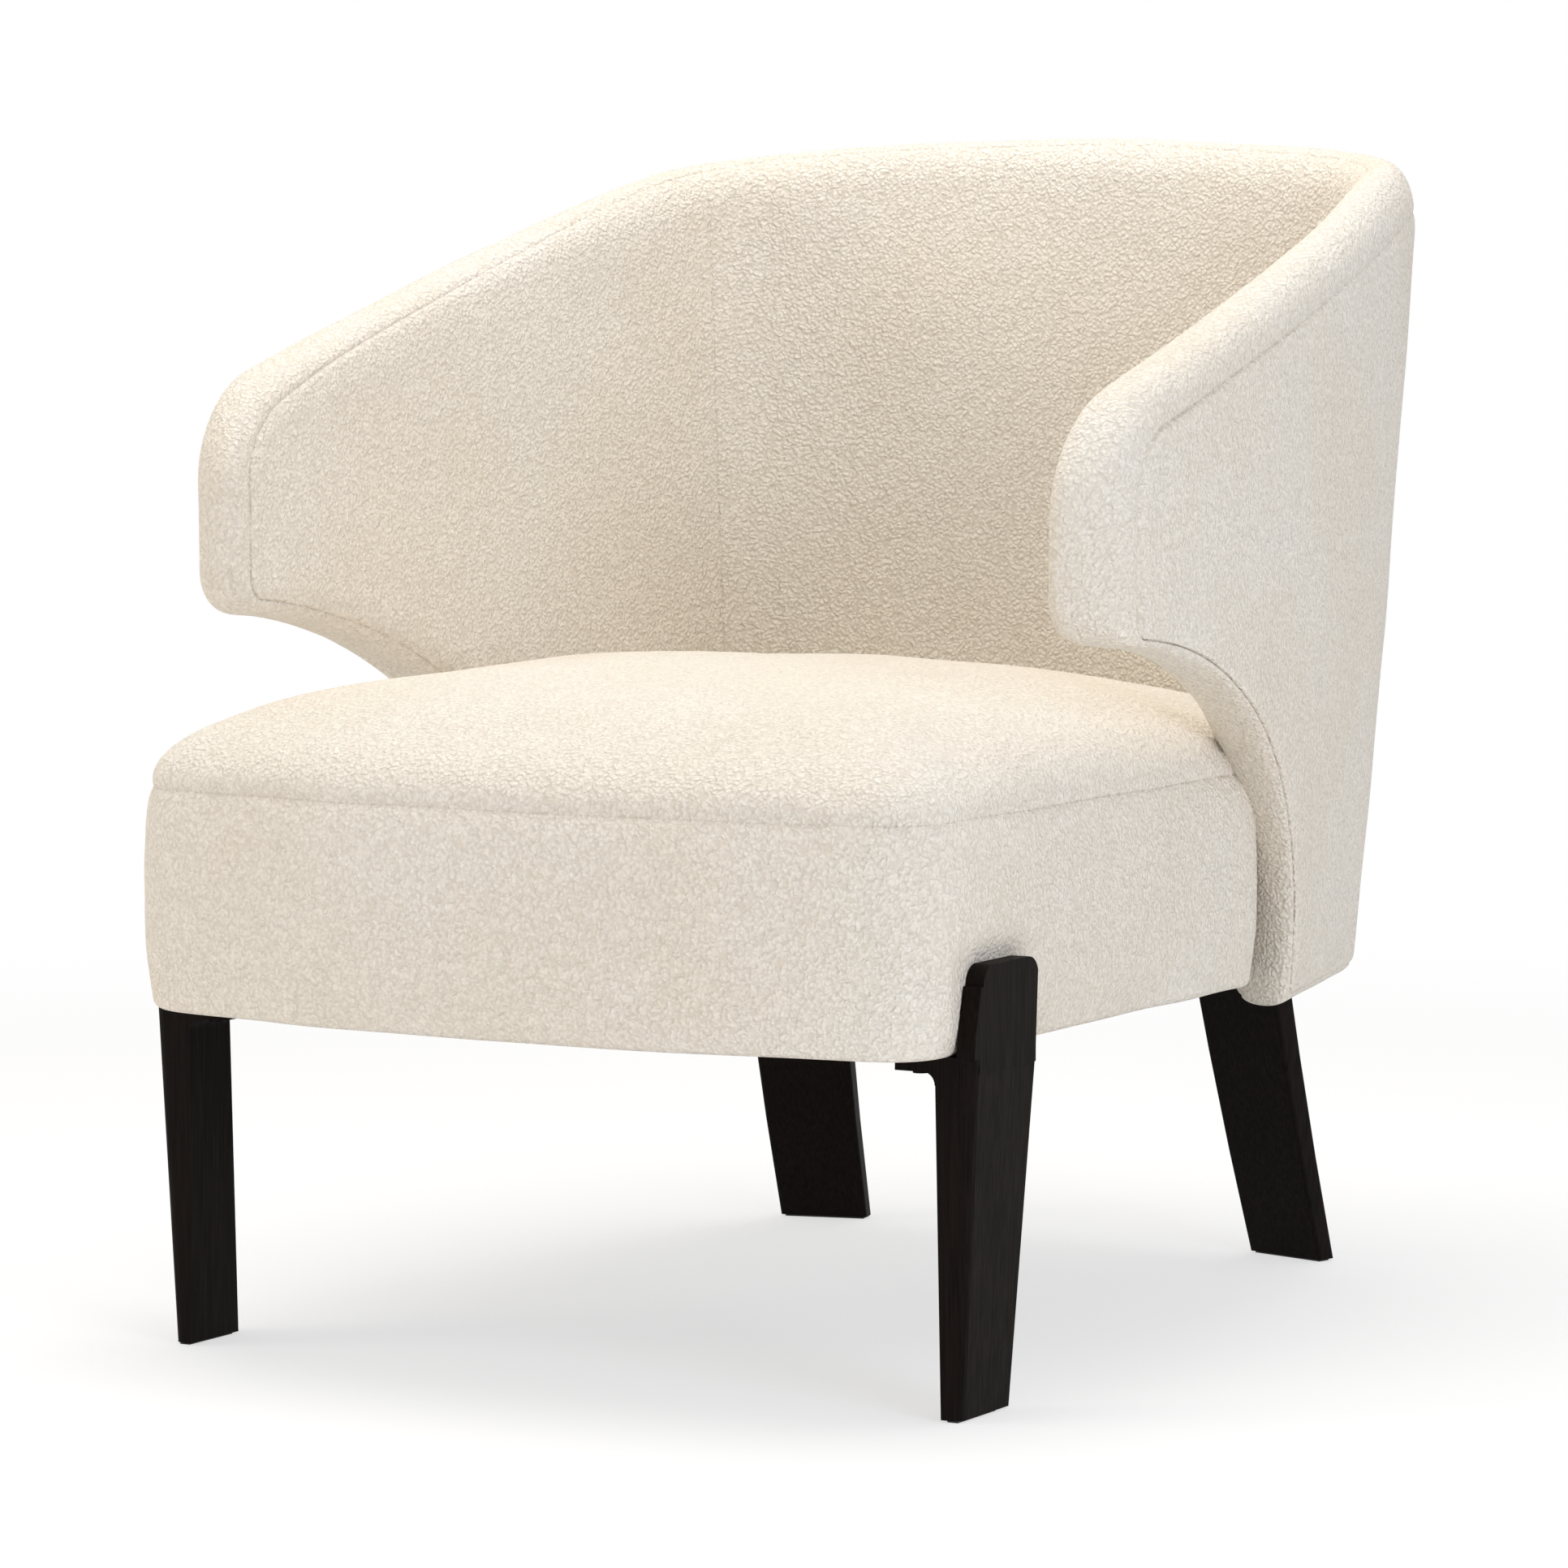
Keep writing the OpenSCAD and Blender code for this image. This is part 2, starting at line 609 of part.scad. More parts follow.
// section of a leg: x is its outer face, y its front, outer and inner are the widths of those faces
function leg_section(x, y, thick, outer, inner) =
  concat(
    [for (i = [0:edge_steps]) let (a = 90 * i / edge_steps)
      [x - front_edge_round * (1 - sin(a)), y + front_edge_round * (1 - cos(a))]],
    [[x, y + outer], [x - thick, y + inner], [x - thick, y]]);
module front_leg() {
  difference() {
    union() {
      hull() {
        translate([0, 0, glide_height])
          linear_extrude(skin)
            polygon(leg_section(front_foot_x, foot_front, front_foot_thick, front_foot_depth, front_foot_inner));
        translate([0, 0, ear_top - skin])
          linear_extrude(skin)
            polygon(leg_section(front_top_x, top_front, front_top_thick, front_top_depth, front_inner_depth));
      }
      translate([tab_in, 0, 0])
        rotate([90, 0, 90])
          linear_extrude(front_top_x - tab_in)
            tab_outline();
      translate([front_top_x - front_top_thick - ear_length, top_front, ear_low])
        cube([ear_length + front_top_thick / 2, front_inner_depth, ear_thick]);
      translate([0, top_front + front_inner_depth, 0])
        rotate([90, 0, 0])
          linear_extrude(front_inner_depth)
            ear_fillet();
    }
    leg_screw_holes();
  }
}
ear_fillet_r = 8;
module ear_fillet() {
  x = front_top_x - front_top_thick - ear_fillet_r;
  difference() {
    translate([x, ear_low - ear_fillet_r])
      square([ear_fillet_r + 2, ear_fillet_r + 1]);
    translate([x, ear_low - ear_fillet_r])
      circle(r = ear_fillet_r);
  }
}
// side view of the tab: its back edge carries on the leg's, and its front edge runs back as it rises
tab_run = 12;
module tab_outline() {
  slope = (front_top_depth - front_rake - front_foot_depth) / ear_top;
  back_low = top_front + front_top_depth;
  back_high = back_low + slope * (tab_top - ear_top);
  difference() {
    polygon([[top_front + front_edge_round, ear_low], [back_low, ear_low], [back_low, ear_top], [back_high, tab_top],
      [top_front + tab_run, tab_top], [top_front + 1, ear_top + tab_run], [top_front, ear_top], [top_front, ear_top - skin],
      [top_front + front_edge_round, ear_top - skin]]);
    corner_cut(back_high, 1);
    corner_cut(top_front + tab_run, -1);
  }
}
// waste outside a round corner at the tab's top; turn is 1 for the back corner
module corner_cut(y, turn) {
  difference() {
    translate([turn > 0 ? y - tab_round : y - tab_round - 1, tab_top - tab_round])
      square([2 * tab_round + 1, 2 * tab_round]);
    translate([y - turn * tab_round, tab_top - tab_round])
      circle(r = tab_round);
    if (turn < 0)
      translate([y + tab_round, tab_top - 3 * tab_round])
        square([3 * tab_round, 6 * tab_round]);
  }
}
module front_leg_left() { color("#1c1512") front_leg(); }
module front_leg_right() { color("#1c1512") mirror([1, 0, 0]) front_leg(); }

screw_x = front_top_x - front_top_thick - ear_length * 0.55;
screw_length = 26;
module leg_screw_places() {
  for (m = [0, 1])
    mirror([m, 0, 0])
      for (i = [-0.5, 0.5])
        translate([screw_x, top_front + front_inner_depth / 2 + i * screw_pitch, ear_low])
          children();
}
module leg_screw_holes() {
  leg_screw_places()
    translate([0, 0, -1])
      cylinder(r = screw_d / 2 + 0.1, h = screw_length + 1);
}
screw_head = 2; // height of a screw's head
module front_leg_screws() {
  color("silver")
    leg_screw_places() {
      translate([0, 0, -screw_head])
        cylinder(r = screw_d, h = screw_head);
      translate([0, 0, -screw_head / 2])
        cylinder(r = screw_d / 2, h = screw_length);
    }
}

// rear legs: turned, raked planks with a slight bow
rear_top = seat_bottom - layer_gap;
module rear_slice(k) {
  // k is 0 at the floor and 1 at the seat
  z = glide_height + (rear_top - skin - glide_height) * k;
  w = rear_foot_width + (rear_top_width - rear_foot_width) * k;
  t = rear_foot_thick + (rear_top_thick - rear_foot_thick) * k;
  bow = rear_bow * 4 * k * (1 - k);
  translate([rear_foot_x + (rear_top_x - rear_foot_x) * k, rear_foot_y + (rear_top_y - rear_foot_y) * k - bow, z])
    rotate([0, 0, -rear_turn])
      linear_extrude(skin)
        rounded_slice(w, t);
}
rear_edge = 2.5; // rounding of a rear leg's long edges
module rounded_slice(w, t) {
  polygon([for (q = [0:3]) for (i = [0:3])
    let (a = q * 90 + i * 30, sx = (q == 0 || q == 3) ? 1 : -1, sy = q < 2 ? 1 : -1)
    [sx * (w / 2 - rear_edge) + rear_edge * cos(a), sy * (t / 2 - rear_edge) + rear_edge * sin(a)]]);
}
rear_slices = 3;
// the part of a leg's top that would reach into the shell is cut away
module shell_room() {
  low = shell_bottom - low_swell - 1;
  translate([0, 0, low])
    linear_extrude(rear_top - low + 1)
      difference() {
        translate([0, corner_y - 3 * corner_radius])
          square([2 * seat_half_width, 6 * corner_radius]);
        polygon(seat_outline(low, layer_gap));
      }
}
module rear_leg() {
  difference() {
    for (i = [0:rear_slices - 1])
      hull() {
        rear_slice(i / rear_slices);
        rear_slice((i + 1) / rear_slices);
      }
    rear_bolt_holes();
    shell_room();
  }
}
module rear_leg_left() { color("#171210") rear_leg(); }
module rear_leg_right() { color("#171210") mirror([1, 0, 0]) rear_leg(); }

bolt_grip = 16; // length of a rear leg bolt inside the leg
module rear_bolt_places() {
  for (m = [0, 1])
    mirror([m, 0, 0])
      translate([rear_top_x, rear_top_y, rear_top - bolt_grip])
        rotate([0, 0, -rear_turn])
          for (i = [-0.5, 0.5])
            translate([i * bolt_pitch - bolt_inward, -bolt_forward, 0])
              children();
}
module rear_bolt_holes() {
  rear_bolt_places()
    cylinder(r = bolt_d / 2 + 0.1, h = base_low - rear_top + bolt_grip + 1);
}
module rear_leg_bolts() {
  color("silver")
    rear_bolt_places()
      cylinder(r = bolt_d / 2, h = base_top - rear_top + bolt_grip - 0.5);
}
module rear_insert_holes() {
  rear_bolt_places()
    translate([0, 0, base_low - rear_top + bolt_grip - 1])
      cylinder(r = insert_d / 2 + 0.05, h = base_thick + 2);
}
module rear_leg_inserts() {
  color("gold")
    rear_bolt_places()
      translate([0, 0, base_low - rear_top + bolt_grip])
        difference() {
          cylinder(r = insert_d / 2, h = base_thick);
          translate([0, 0, -1])
            cylinder(r = bolt_d / 2 + 0.05, h = base_thick + 2);
        }
}

// glides under all four legs
module foot_glides() {
  color("dimgray")
    for (m = [0, 1])
      mirror([m, 0, 0]) {
        translate([front_foot_x - front_foot_thick + glide_inset, foot_front + glide_inset, 0])
          cube([front_foot_thick - 2 * glide_inset, front_foot_inner - 2 * glide_inset, glide_height]);
        translate([rear_foot_x, rear_foot_y, 0])
          rotate([0, 0, -rear_turn])
            translate([-rear_foot_width / 2 + glide_inset, -rear_foot_thick / 2 + glide_inset, 0])
              cube([rear_foot_width - 2 * glide_inset, rear_foot_thick - 2 * glide_inset, glide_height]);
      }
}

// bolts through the seat's back rail into the shell's plywood
ply_back = ply_front + ply_thick;
function back_shift(z) = back_lean * (z - lean_height) - hem_pull(z);
module back_bolt_places() {
  a = asin(back_bolt_x / back_radius);
  for (m = [0, 1])
    mirror([m, 0, 0])
      translate([0, back_centre_y, back_bolt_z])
        rotate([0, 0, -a])
          translate([0, back_radius + back_shift(back_bolt_z), 0])
            rotate([-90, 0, 0])
              children();
}
// from the plywood's middle to the rail's inner face, with room for the flats of the curve
bolt_reach = half + layer_gap + frame_inset + rail_thick + back_shift(back_bolt_z) - back_shift(base_low) + 0.9;
module back_bolt_holes(r) {
  back_bolt_places()
    cylinder_from(-2 * bolt_reach, ply_back - 1, r);
}
bolt_head = 5;
module back_bolts() {
  color("silver")
    back_bolt_places() {
      cylinder_from(-bolt_reach - bolt_head, -bolt_reach, bolt_d);
      cylinder_from(-bolt_reach - bolt_head / 2, ply_back - 1.5, bolt_d / 2);
    }
}
module cylinder_from(z0, z1, r) {
  translate([0, 0, z0])
    cylinder(r = r, h = z1 - z0);
}
module back_inserts() {
  color("gold")
    back_bolt_places()
      difference() {
        cylinder_from(ply_front + 0.5, ply_back - 1.5, insert_d / 2);
        cylinder_from(ply_front - 1, ply_back + 1, bolt_d / 2 + 0.05);
      }
}

// layers of the shell
inner_off = -half + cloth + layer_gap;
outer_off = half - cloth - layer_gap;
function under_band(off) = [off, swell(off) - cloth - layer_gap, swell_low(off) - cloth - layer_gap];
panel_edge = -cloth - layer_gap;
function inset_at(off, e) = [off, e, e];
// each side is [offset, distance past the seam above, and below]
module shell_layer(a, b) {
  sheet(columns(a[0], a[1], a[2]), a[0], columns(b[0], b[1], b[2]), b[0]);
}
module shell_plywood() {
  color("burlywood")
    difference() {
      shell_layer(inset_at(ply_front, -ply_inset), inset_at(ply_back, -ply_inset));
      back_bolt_places()
        cylinder_from(ply_front - 5, ply_back + 5, insert_d / 2 + 0.05);
    }
}
module shell_inner_foam() {
  color("khaki")
    difference() {
      shell_layer(under_band(inner_off), under_band(ply_front - layer_gap));
      back_bolt_holes(bolt_d / 2 + 1);
    }
}
module shell_outer_padding() {
  color("khaki")
    shell_layer(under_band(ply_back + layer_gap), under_band(outer_off));
}
module shell_edge_roll() {
  color("lightyellow")
    rim_sweep([inset_at(ply_front, -ply_inset + layer_gap), inset_at(ply_back, -ply_inset + layer_gap),
      under_band(ply_back), under_band(ply_front)]);
}
module cover_inside_back() {
  c0 = columns(-half, panel_edge, panel_edge);
  c1 = columns(-half + cloth, panel_edge, panel_edge);
  mid = (len(c0) - 1) / 2;
  color("ivory")
    difference() {
      sheet(part_of(c0, mid - seam_index, mid + seam_index), -half, part_of(c1, mid - seam_index, mid + seam_index), -half + cloth);
      back_bolt_holes(bolt_d / 2 + 1);
    }
}
module cover_inside_arm() {
  c0 = columns(-half, panel_edge, panel_edge);
  c1 = columns(-half + cloth, panel_edge, panel_edge);
  mid = (len(c0) - 1) / 2;
  sheet(part_of(c0, mid + seam_index, len(c0) - 1), -half, part_of(c1, mid + seam_index, len(c1) - 1), -half + cloth);
}
module cover_inside_arm_left() { color("floralwhite") cover_inside_arm(); }
module cover_inside_arm_right() { color("floralwhite") mirror([1, 0, 0]) cover_inside_arm(); }
module cover_outside() {
  color("ivory")
    shell_layer(inset_at(half - cloth, panel_edge), inset_at(half, panel_edge));
}
band_points = 4;
module cover_border_band() {
  color("oldlace")
    rim_sweep(concat(
      [for (i = [0:band_points]) let (o = half * (2 * i / band_points - 1)) [o, swell(o), swell_low(o)]],
      [for (i = [band_points:-1:0]) let (o = half * (2 * i / band_points - 1)) [o, swell(o) - cloth, swell_low(o) - cloth]]));
}

front_leg_left();
front_leg_right();
rear_leg_left();
rear_leg_right();
foot_glides();
front_leg_screws();
rear_leg_bolts();
rear_leg_inserts();
back_bolts();
back_inserts();
seat_base_ring();
seat_front_rail();
seat_back_rail();
seat_side_rail_left();
seat_side_rail_right();
corner_blocks_front();
corner_blocks_back();
straps_lengthwise();
straps_crosswise();
deck_felt();
seat_foam();
seat_side_padding();
seat_cover_top();
seat_cover_border();
seat_cover_turn_under();
dust_cloth();
shell_plywood();
shell_inner_foam();
shell_outer_padding();
shell_edge_roll();
cover_inside_back();
cover_inside_arm_left();
cover_inside_arm_right();
cover_outside();
cover_border_band();
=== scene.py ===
import math

import bpy
import numpy as np
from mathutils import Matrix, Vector, noise


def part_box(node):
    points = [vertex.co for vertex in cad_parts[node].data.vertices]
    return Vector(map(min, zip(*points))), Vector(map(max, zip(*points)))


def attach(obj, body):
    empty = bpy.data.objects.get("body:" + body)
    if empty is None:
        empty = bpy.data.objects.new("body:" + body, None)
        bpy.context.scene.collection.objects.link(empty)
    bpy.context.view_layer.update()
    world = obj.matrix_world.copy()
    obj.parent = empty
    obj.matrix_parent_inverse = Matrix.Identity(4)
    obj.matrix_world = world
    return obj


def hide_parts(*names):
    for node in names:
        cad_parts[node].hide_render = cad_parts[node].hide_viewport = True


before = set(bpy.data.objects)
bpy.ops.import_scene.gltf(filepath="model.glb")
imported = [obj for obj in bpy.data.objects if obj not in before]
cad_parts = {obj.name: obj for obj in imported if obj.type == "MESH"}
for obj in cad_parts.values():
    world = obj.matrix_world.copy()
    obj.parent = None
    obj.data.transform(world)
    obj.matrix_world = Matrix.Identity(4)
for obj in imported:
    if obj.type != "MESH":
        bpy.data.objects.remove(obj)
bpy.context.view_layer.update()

scene = bpy.context.scene
bodyName = "root"


def toLinear(hexColour):
    out = []
    for i in (1, 3, 5):
        c = int(hexColour[i:i + 2], 16) / 255
        out.append(c / 12.92 if c <= 0.04045 else ((c + 0.055) / 1.055) ** 2.4)
    return (out[0], out[1], out[2], 1.0)


# a long lens, a little above the arms, turned to the sitter's left
cameraSetup = {
    "place": (2.198, -3.916, 0.751),
    "pitchDown": 4.965,   # degrees
    "turn": 29.64,        # degrees from straight ahead
    "lens": 151.9,        # mm on a 36 mm sensor
    "shiftX": 0.0088,
}


def makeCamera(setup):
    data = bpy.data.cameras.new("camera")
    data.sensor_width = 36
    data.lens = setup["lens"]
    data.shift_x = setup["shiftX"]
    data.clip_end = 60
    cam = bpy.data.objects.new("camera", data)
    cam.location = setup["place"]
    cam.rotation_euler = (math.radians(90 - setup["pitchDown"]), 0, math.radians(setup["turn"]))
    scene.collection.objects.link(cam)
    scene.camera = cam


makeCamera(cameraSetup)
print("camera placed")


def addNode(tree, kind, links=(), **values):
    # values are node properties or input sockets, by name; links are (input, other node, its output)
    node = tree.nodes.new(kind)
    for name, value in values.items():
        if hasattr(node, name):
            setattr(node, name, value)
        else:
            node.inputs[name.replace("_", " ")].default_value = value
    for socket, other, output in links:
        tree.links.new(other.outputs[output], node.inputs[socket])
    return node


def newMaterial(name):
    material = bpy.data.materials.new(name)
    material.use_nodes = True
    tree = material.node_tree
    tree.nodes.clear()
    return material, tree


def perMetre(mm):
    # pattern scale for features of this size in millimetres
    return 1000.0 / mm


def rampStops(node, stops):
    ramp = node.color_ramp
    while len(ramp.elements) > 1:
        ramp.elements.remove(ramp.elements[-1])
    for i, (place, colour) in enumerate(stops):
        element = ramp.elements[0] if i == 0 else ramp.elements.new(place)
        element.position = place
        element.color = colour if len(colour) == 4 else (*colour, 1)
    return node


boucleLook = {
    "base": "#EEE8DD",      # cream yarn in full light
    "paintedShade": "#CDC4B6",     # painted shade between the curls, in the hollows of the pile
    "warm": "#FAF3E9",      # slightly yellower yarn here and there
    "curl": 2.8,            # mm across one curl of yarn
    "clump": 8.0,           # mm between clumps of curls
    "drift": 160.0,         # mm over which the dye drifts
    "height": 1.6,          # mm of pile
    "relief": 0.8,
}


def makeBoucle(name, look):
    # wool-blend boucle: short curled pile on a woven backing, matt, with soft painted shade between the
    # curls
    material, tree = newMaterial(name)
    place = addNode(tree, "ShaderNodeTexCoord")
    wander = addNode(tree, "ShaderNodeTexNoise", [("Vector", place, "Object")],
                     Scale=perMetre(look["curl"] * 2.2), Detail=2.0)
    curled = addNode(tree, "ShaderNodeVectorMath", [(0, wander, "Color"), (2, place, "Object")],
                     operation="MULTIPLY_ADD")
    curled.inputs[1].default_value = [look["curl"] * 0.0016] * 3
    curls = addNode(tree, "ShaderNodeTexVoronoi", [("Vector", curled, "Vector")], feature="SMOOTH_F1",
                    Scale=perMetre(look["curl"]), Smoothness=0.35)
    fine = addNode(tree, "ShaderNodeTexNoise", [("Vector", curled, "Vector")],
                   Scale=perMetre(look["curl"] * 0.9), Detail=3.0, Roughness=0.6)
    clumps = addNode(tree, "ShaderNodeTexNoise", [("Vector", place, "Object")],
                     Scale=perMetre(look["clump"]), Detail=2.0)
    crown = addNode(tree, "ShaderNodeMapRange", [("Value", curls, "Distance")],
                    From_Min=0.1, From_Max=0.75, To_Min=1.0, To_Max=0.0)
    pile = addNode(tree, "ShaderNodeMath", [(0, fine, "Fac"), (2, crown, "Result")],
                   operation="MULTIPLY_ADD")
    pile.inputs[1].default_value = 0.9
    height = addNode(tree, "ShaderNodeMath", [(0, clumps, "Fac"), (2, pile, "Value")],
                     operation="MULTIPLY_ADD")
    height.inputs[1].default_value = 0.6
    # painted shade: where the pile is low, between the curls, the colour goes to the darker tone
    lit = addNode(tree, "ShaderNodeMapRange", [("Value", height, "Value")],
                  From_Min=0.2, From_Max=1.6, To_Min=0.0, To_Max=1.0)
    yarnWithPaintedShade = addNode(tree, "ShaderNodeMix", [("Factor", lit, "Result")], data_type="RGBA")
    yarnWithPaintedShade.inputs[6].default_value = toLinear(look["paintedShade"])
    yarnWithPaintedShade.inputs[7].default_value = toLinear(look["base"])
    drift = addNode(tree, "ShaderNodeTexNoise", [("Vector", place, "Object")],
                    Scale=perMetre(look["drift"]), Detail=3.0)
    driftMask = addNode(tree, "ShaderNodeMapRange", [("Value", drift, "Fac")],
                        From_Min=0.35, From_Max=0.75, To_Min=0.0, To_Max=0.5)
    tint = addNode(tree, "ShaderNodeMix", [("Factor", driftMask, "Result"), (6, yarnWithPaintedShade, 2)],
                   data_type="RGBA", blend_type="MULTIPLY")
    tint.inputs[7].default_value = toLinear(look["warm"])
    bump = addNode(tree, "ShaderNodeBump", [("Height", height, "Value")],
                   Strength=look["relief"], Distance=look["height"] / 1000)
    skin = addNode(tree, "ShaderNodeBsdfPrincipled", [("Base Color", tint, 2), ("Normal", bump, "Normal")],
                   Roughness=0.95, IOR=1.45)
    skin.inputs["Specular IOR Level"].default_value = 0.1
    skin.inputs["Sheen Weight"].default_value = 0.12
    skin.inputs["Sheen Roughness"].default_value = 0.5
    addNode(tree, "ShaderNodeOutputMaterial", [("Surface", skin, "BSDF")])
    return material


woodLook = {
    "dark": "#0B0807",      # stain in the pores
    "light": "#1A1310",     # stain on the harder grain
    "grain": 1.6,           # mm across the grain, drawn a little coarse so that it shows
    "run": 60.0,            # mm along the grain
    "rough": 0.55,
}


def makeStainedWood(name, look):
    # ebonised beech: near-black open-pored stain, an oiled low sheen and fine straight grain along the leg
    material, tree = newMaterial(name)
    place = addNode(tree, "ShaderNodeTexCoord")
    stretch = addNode(tree, "ShaderNodeMapping", [("Vector", place, "Object")])
    across, along = perMetre(look["grain"]), perMetre(look["run"])
    stretch.inputs["Scale"].default_value = (across, across, along)
    grain = addNode(tree, "ShaderNodeTexNoise", [("Vector", stretch, "Vector")],
                    Scale=1.0, Detail=5.0, Roughness=0.65)
    colour = rampStops(addNode(tree, "ShaderNodeValToRGB", [("Fac", grain, "Fac")]),
                       [(0.36, toLinear(look["dark"])), (0.7, toLinear(look["light"]))])
    sheen = addNode(tree, "ShaderNodeMapRange", [("Value", grain, "Fac")],
                    From_Min=0.3, From_Max=0.7, To_Min=look["rough"] + 0.1, To_Max=look["rough"] - 0.06)
    bump = addNode(tree, "ShaderNodeBump", [("Height", grain, "Fac")], Strength=0.18, Distance=0.0004)
    skinLinks = [("Base Color", colour, "Color"), ("Roughness", sheen, "Result"), ("Normal", bump, "Normal")]
    skin = addNode(tree, "ShaderNodeBsdfPrincipled", skinLinks, IOR=1.5)
    skin.inputs["Specular IOR Level"].default_value = 0.05
    addNode(tree, "ShaderNodeOutputMaterial", [("Surface", skin, "BSDF")])
    return material


def makeGrained(name, light, dark, across, along, rough, axis=0, strength=0.15):
    # raw timber or ply face: two tones drawn out along one axis
    material, tree = newMaterial(name)
    place = addNode(tree, "ShaderNodeTexCoord")
    stretch = addNode(tree, "ShaderNodeMapping", [("Vector", place, "Object")])
    scale = [perMetre(across)] * 3
    scale[axis] = perMetre(along)
    stretch.inputs["Scale"].default_value = scale
    grain = addNode(tree, "ShaderNodeTexNoise", [("Vector", stretch, "Vector")],
                    Scale=1.0, Detail=4.0, Roughness=0.6)
    colour = rampStops(addNode(tree, "ShaderNodeValToRGB", [("Fac", grain, "Fac")]),
                       [(0.3, toLinear(dark)), (0.72, toLinear(light))])
    bump = addNode(tree, "ShaderNodeBump", [("Height", grain, "Fac")], Strength=strength, Distance=0.0003)
    skinLinks = [("Base Color", colour, "Color"), ("Normal", bump, "Normal")]
    skin = addNode(tree, "ShaderNodeBsdfPrincipled", skinLinks, Roughness=rough, IOR=1.5)
    addNode(tree, "ShaderNodeOutputMaterial", [("Surface", skin, "BSDF")])
    return material


def makeWoven(name, light, dark, thread, rough, strength=0.4):
    # plain weave: warp and weft drawn as two crossed sets of bands, thread is their spacing in mm
    material, tree = newMaterial(name)
    place = addNode(tree, "ShaderNodeTexCoord")
    warp = addNode(tree, "ShaderNodeTexWave", [("Vector", place, "Object")], bands_direction="X",
                   Scale=perMetre(thread) / 20 * math.pi, Distortion=0.6, Detail=1.0)
    weft = addNode(tree, "ShaderNodeTexWave", [("Vector", place, "Object")], bands_direction="Y",
                   Scale=perMetre(thread) / 20 * math.pi, Distortion=0.6, Detail=1.0)
    cross = addNode(tree, "ShaderNodeMath", [(0, warp, "Fac"), (1, weft, "Fac")], operation="MULTIPLY")
    colour = rampStops(addNode(tree, "ShaderNodeValToRGB", [("Fac", cross, "Value")]),
                       [(0.1, toLinear(dark)), (0.7, toLinear(light))])
    bump = addNode(tree, "ShaderNodeBump", [("Height", cross, "Value")], Strength=strength, Distance=0.0005)
    skinLinks = [("Base Color", colour, "Color"), ("Normal", bump, "Normal")]
    skin = addNode(tree, "ShaderNodeBsdfPrincipled", skinLinks, Roughness=rough, IOR=1.5)
    addNode(tree, "ShaderNodeOutputMaterial", [("Surface", skin, "BSDF")])
    return material


def makeSpeckled(name, light, dark, speck, rough, metallic=0.0, strength=0.3):
    # felt, foam, nylon or plated steel: a fine even grain of two close tones
    material, tree = newMaterial(name)
    place = addNode(tree, "ShaderNodeTexCoord")
    specks = addNode(tree, "ShaderNodeTexNoise", [("Vector", place, "Object")],
                     Scale=perMetre(speck), Detail=3.0, Roughness=0.7)
    colour = rampStops(addNode(tree, "ShaderNodeValToRGB", [("Fac", specks, "Fac")]),
                       [(0.35, toLinear(dark)), (0.65, toLinear(light))])
    bump = addNode(tree, "ShaderNodeBump", [("Height", specks, "Fac")], Strength=strength, Distance=0.0003)
    skinLinks = [("Base Color", colour, "Color"), ("Normal", bump, "Normal")]
    skin = addNode(tree, "ShaderNodeBsdfPrincipled", skinLinks, Roughness=rough, Metallic=metallic)
    addNode(tree, "ShaderNodeOutputMaterial", [("Surface", skin, "BSDF")])
    return material


boucle = makeBoucle("creamBoucle", boucleLook)
stainedWood = makeStainedWood("ebonisedBeech", woodLook)
birchPly = makeGrained("birchPlywood", "#D9BC8E", "#B8925F", 1.2, 40.0, 0.65, axis=0)
rawBeech = makeGrained("rawBeech", "#CFA77B", "#AD8154", 1.4, 60.0, 0.6, axis=0)
webbing = makeWoven("elasticWebbing", "#4C4945", "#2B2927", 2.2, 0.85)
dustCloth = makeWoven("nonWovenDustCloth", "#1C1C1E", "#101012", 1.4, 0.9, 0.25)
felt = makeSpeckled("needledFelt", "#9B9993", "#77756F", 1.5, 0.95)
nylon = makeSpeckled("mouldedNylon", "#1B1B1B", "#131313", 0.6, 0.5, strength=0.1)
blackSteel = makeSpeckled("blackenedSteel", "#1E1E20", "#141416", 2.0, 0.5, metallic=1.0, strength=0.05)
platedSteel = makeSpeckled("zincPlatedSteel", "#C9CBCC", "#A9ABAD", 2.5, 0.32, metallic=1.0, strength=0.05)
print("materials made")

legs = ("front_leg_left", "front_leg_right", "rear_leg_left", "rear_leg_right")
nodeMaterials = {
    "foot_glides": nylon, "front_leg_screws": blackSteel,
    "rear_leg_bolts": blackSteel, "rear_leg_inserts": platedSteel,
    "back_bolts": platedSteel, "back_inserts": platedSteel,
    "seat_base_ring": birchPly, "shell_plywood": birchPly,
    "seat_front_rail": rawBeech, "seat_back_rail": rawBeech,
    "seat_side_rail_left": rawBeech, "seat_side_rail_right": rawBeech,
    "corner_blocks_front": rawBeech, "corner_blocks_back": rawBeech,
    "straps_lengthwise": webbing, "straps_crosswise": webbing,
    "deck_felt": felt,
}
nodeMaterials.update({leg: stainedWood for leg in legs})
for nodeName, material in nodeMaterials.items():
    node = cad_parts[nodeName]
    node.data.materials.clear()
    node.data.materials.append(material)

legEdges = {"width": 0.0022, "steps": 3, "sharperThan": 32}  # eased edges of the wooden legs
for leg in legs:
    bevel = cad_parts[leg].modifiers.new("easedEdges", "BEVEL")
    bevel.width = legEdges["width"]
    bevel.segments = legEdges["steps"]
    bevel.limit_method = "ANGLE"
    bevel.angle_limit = math.radians(legEdges["sharperThan"])
    bevel.harden_normals = False
print("frame dressed")


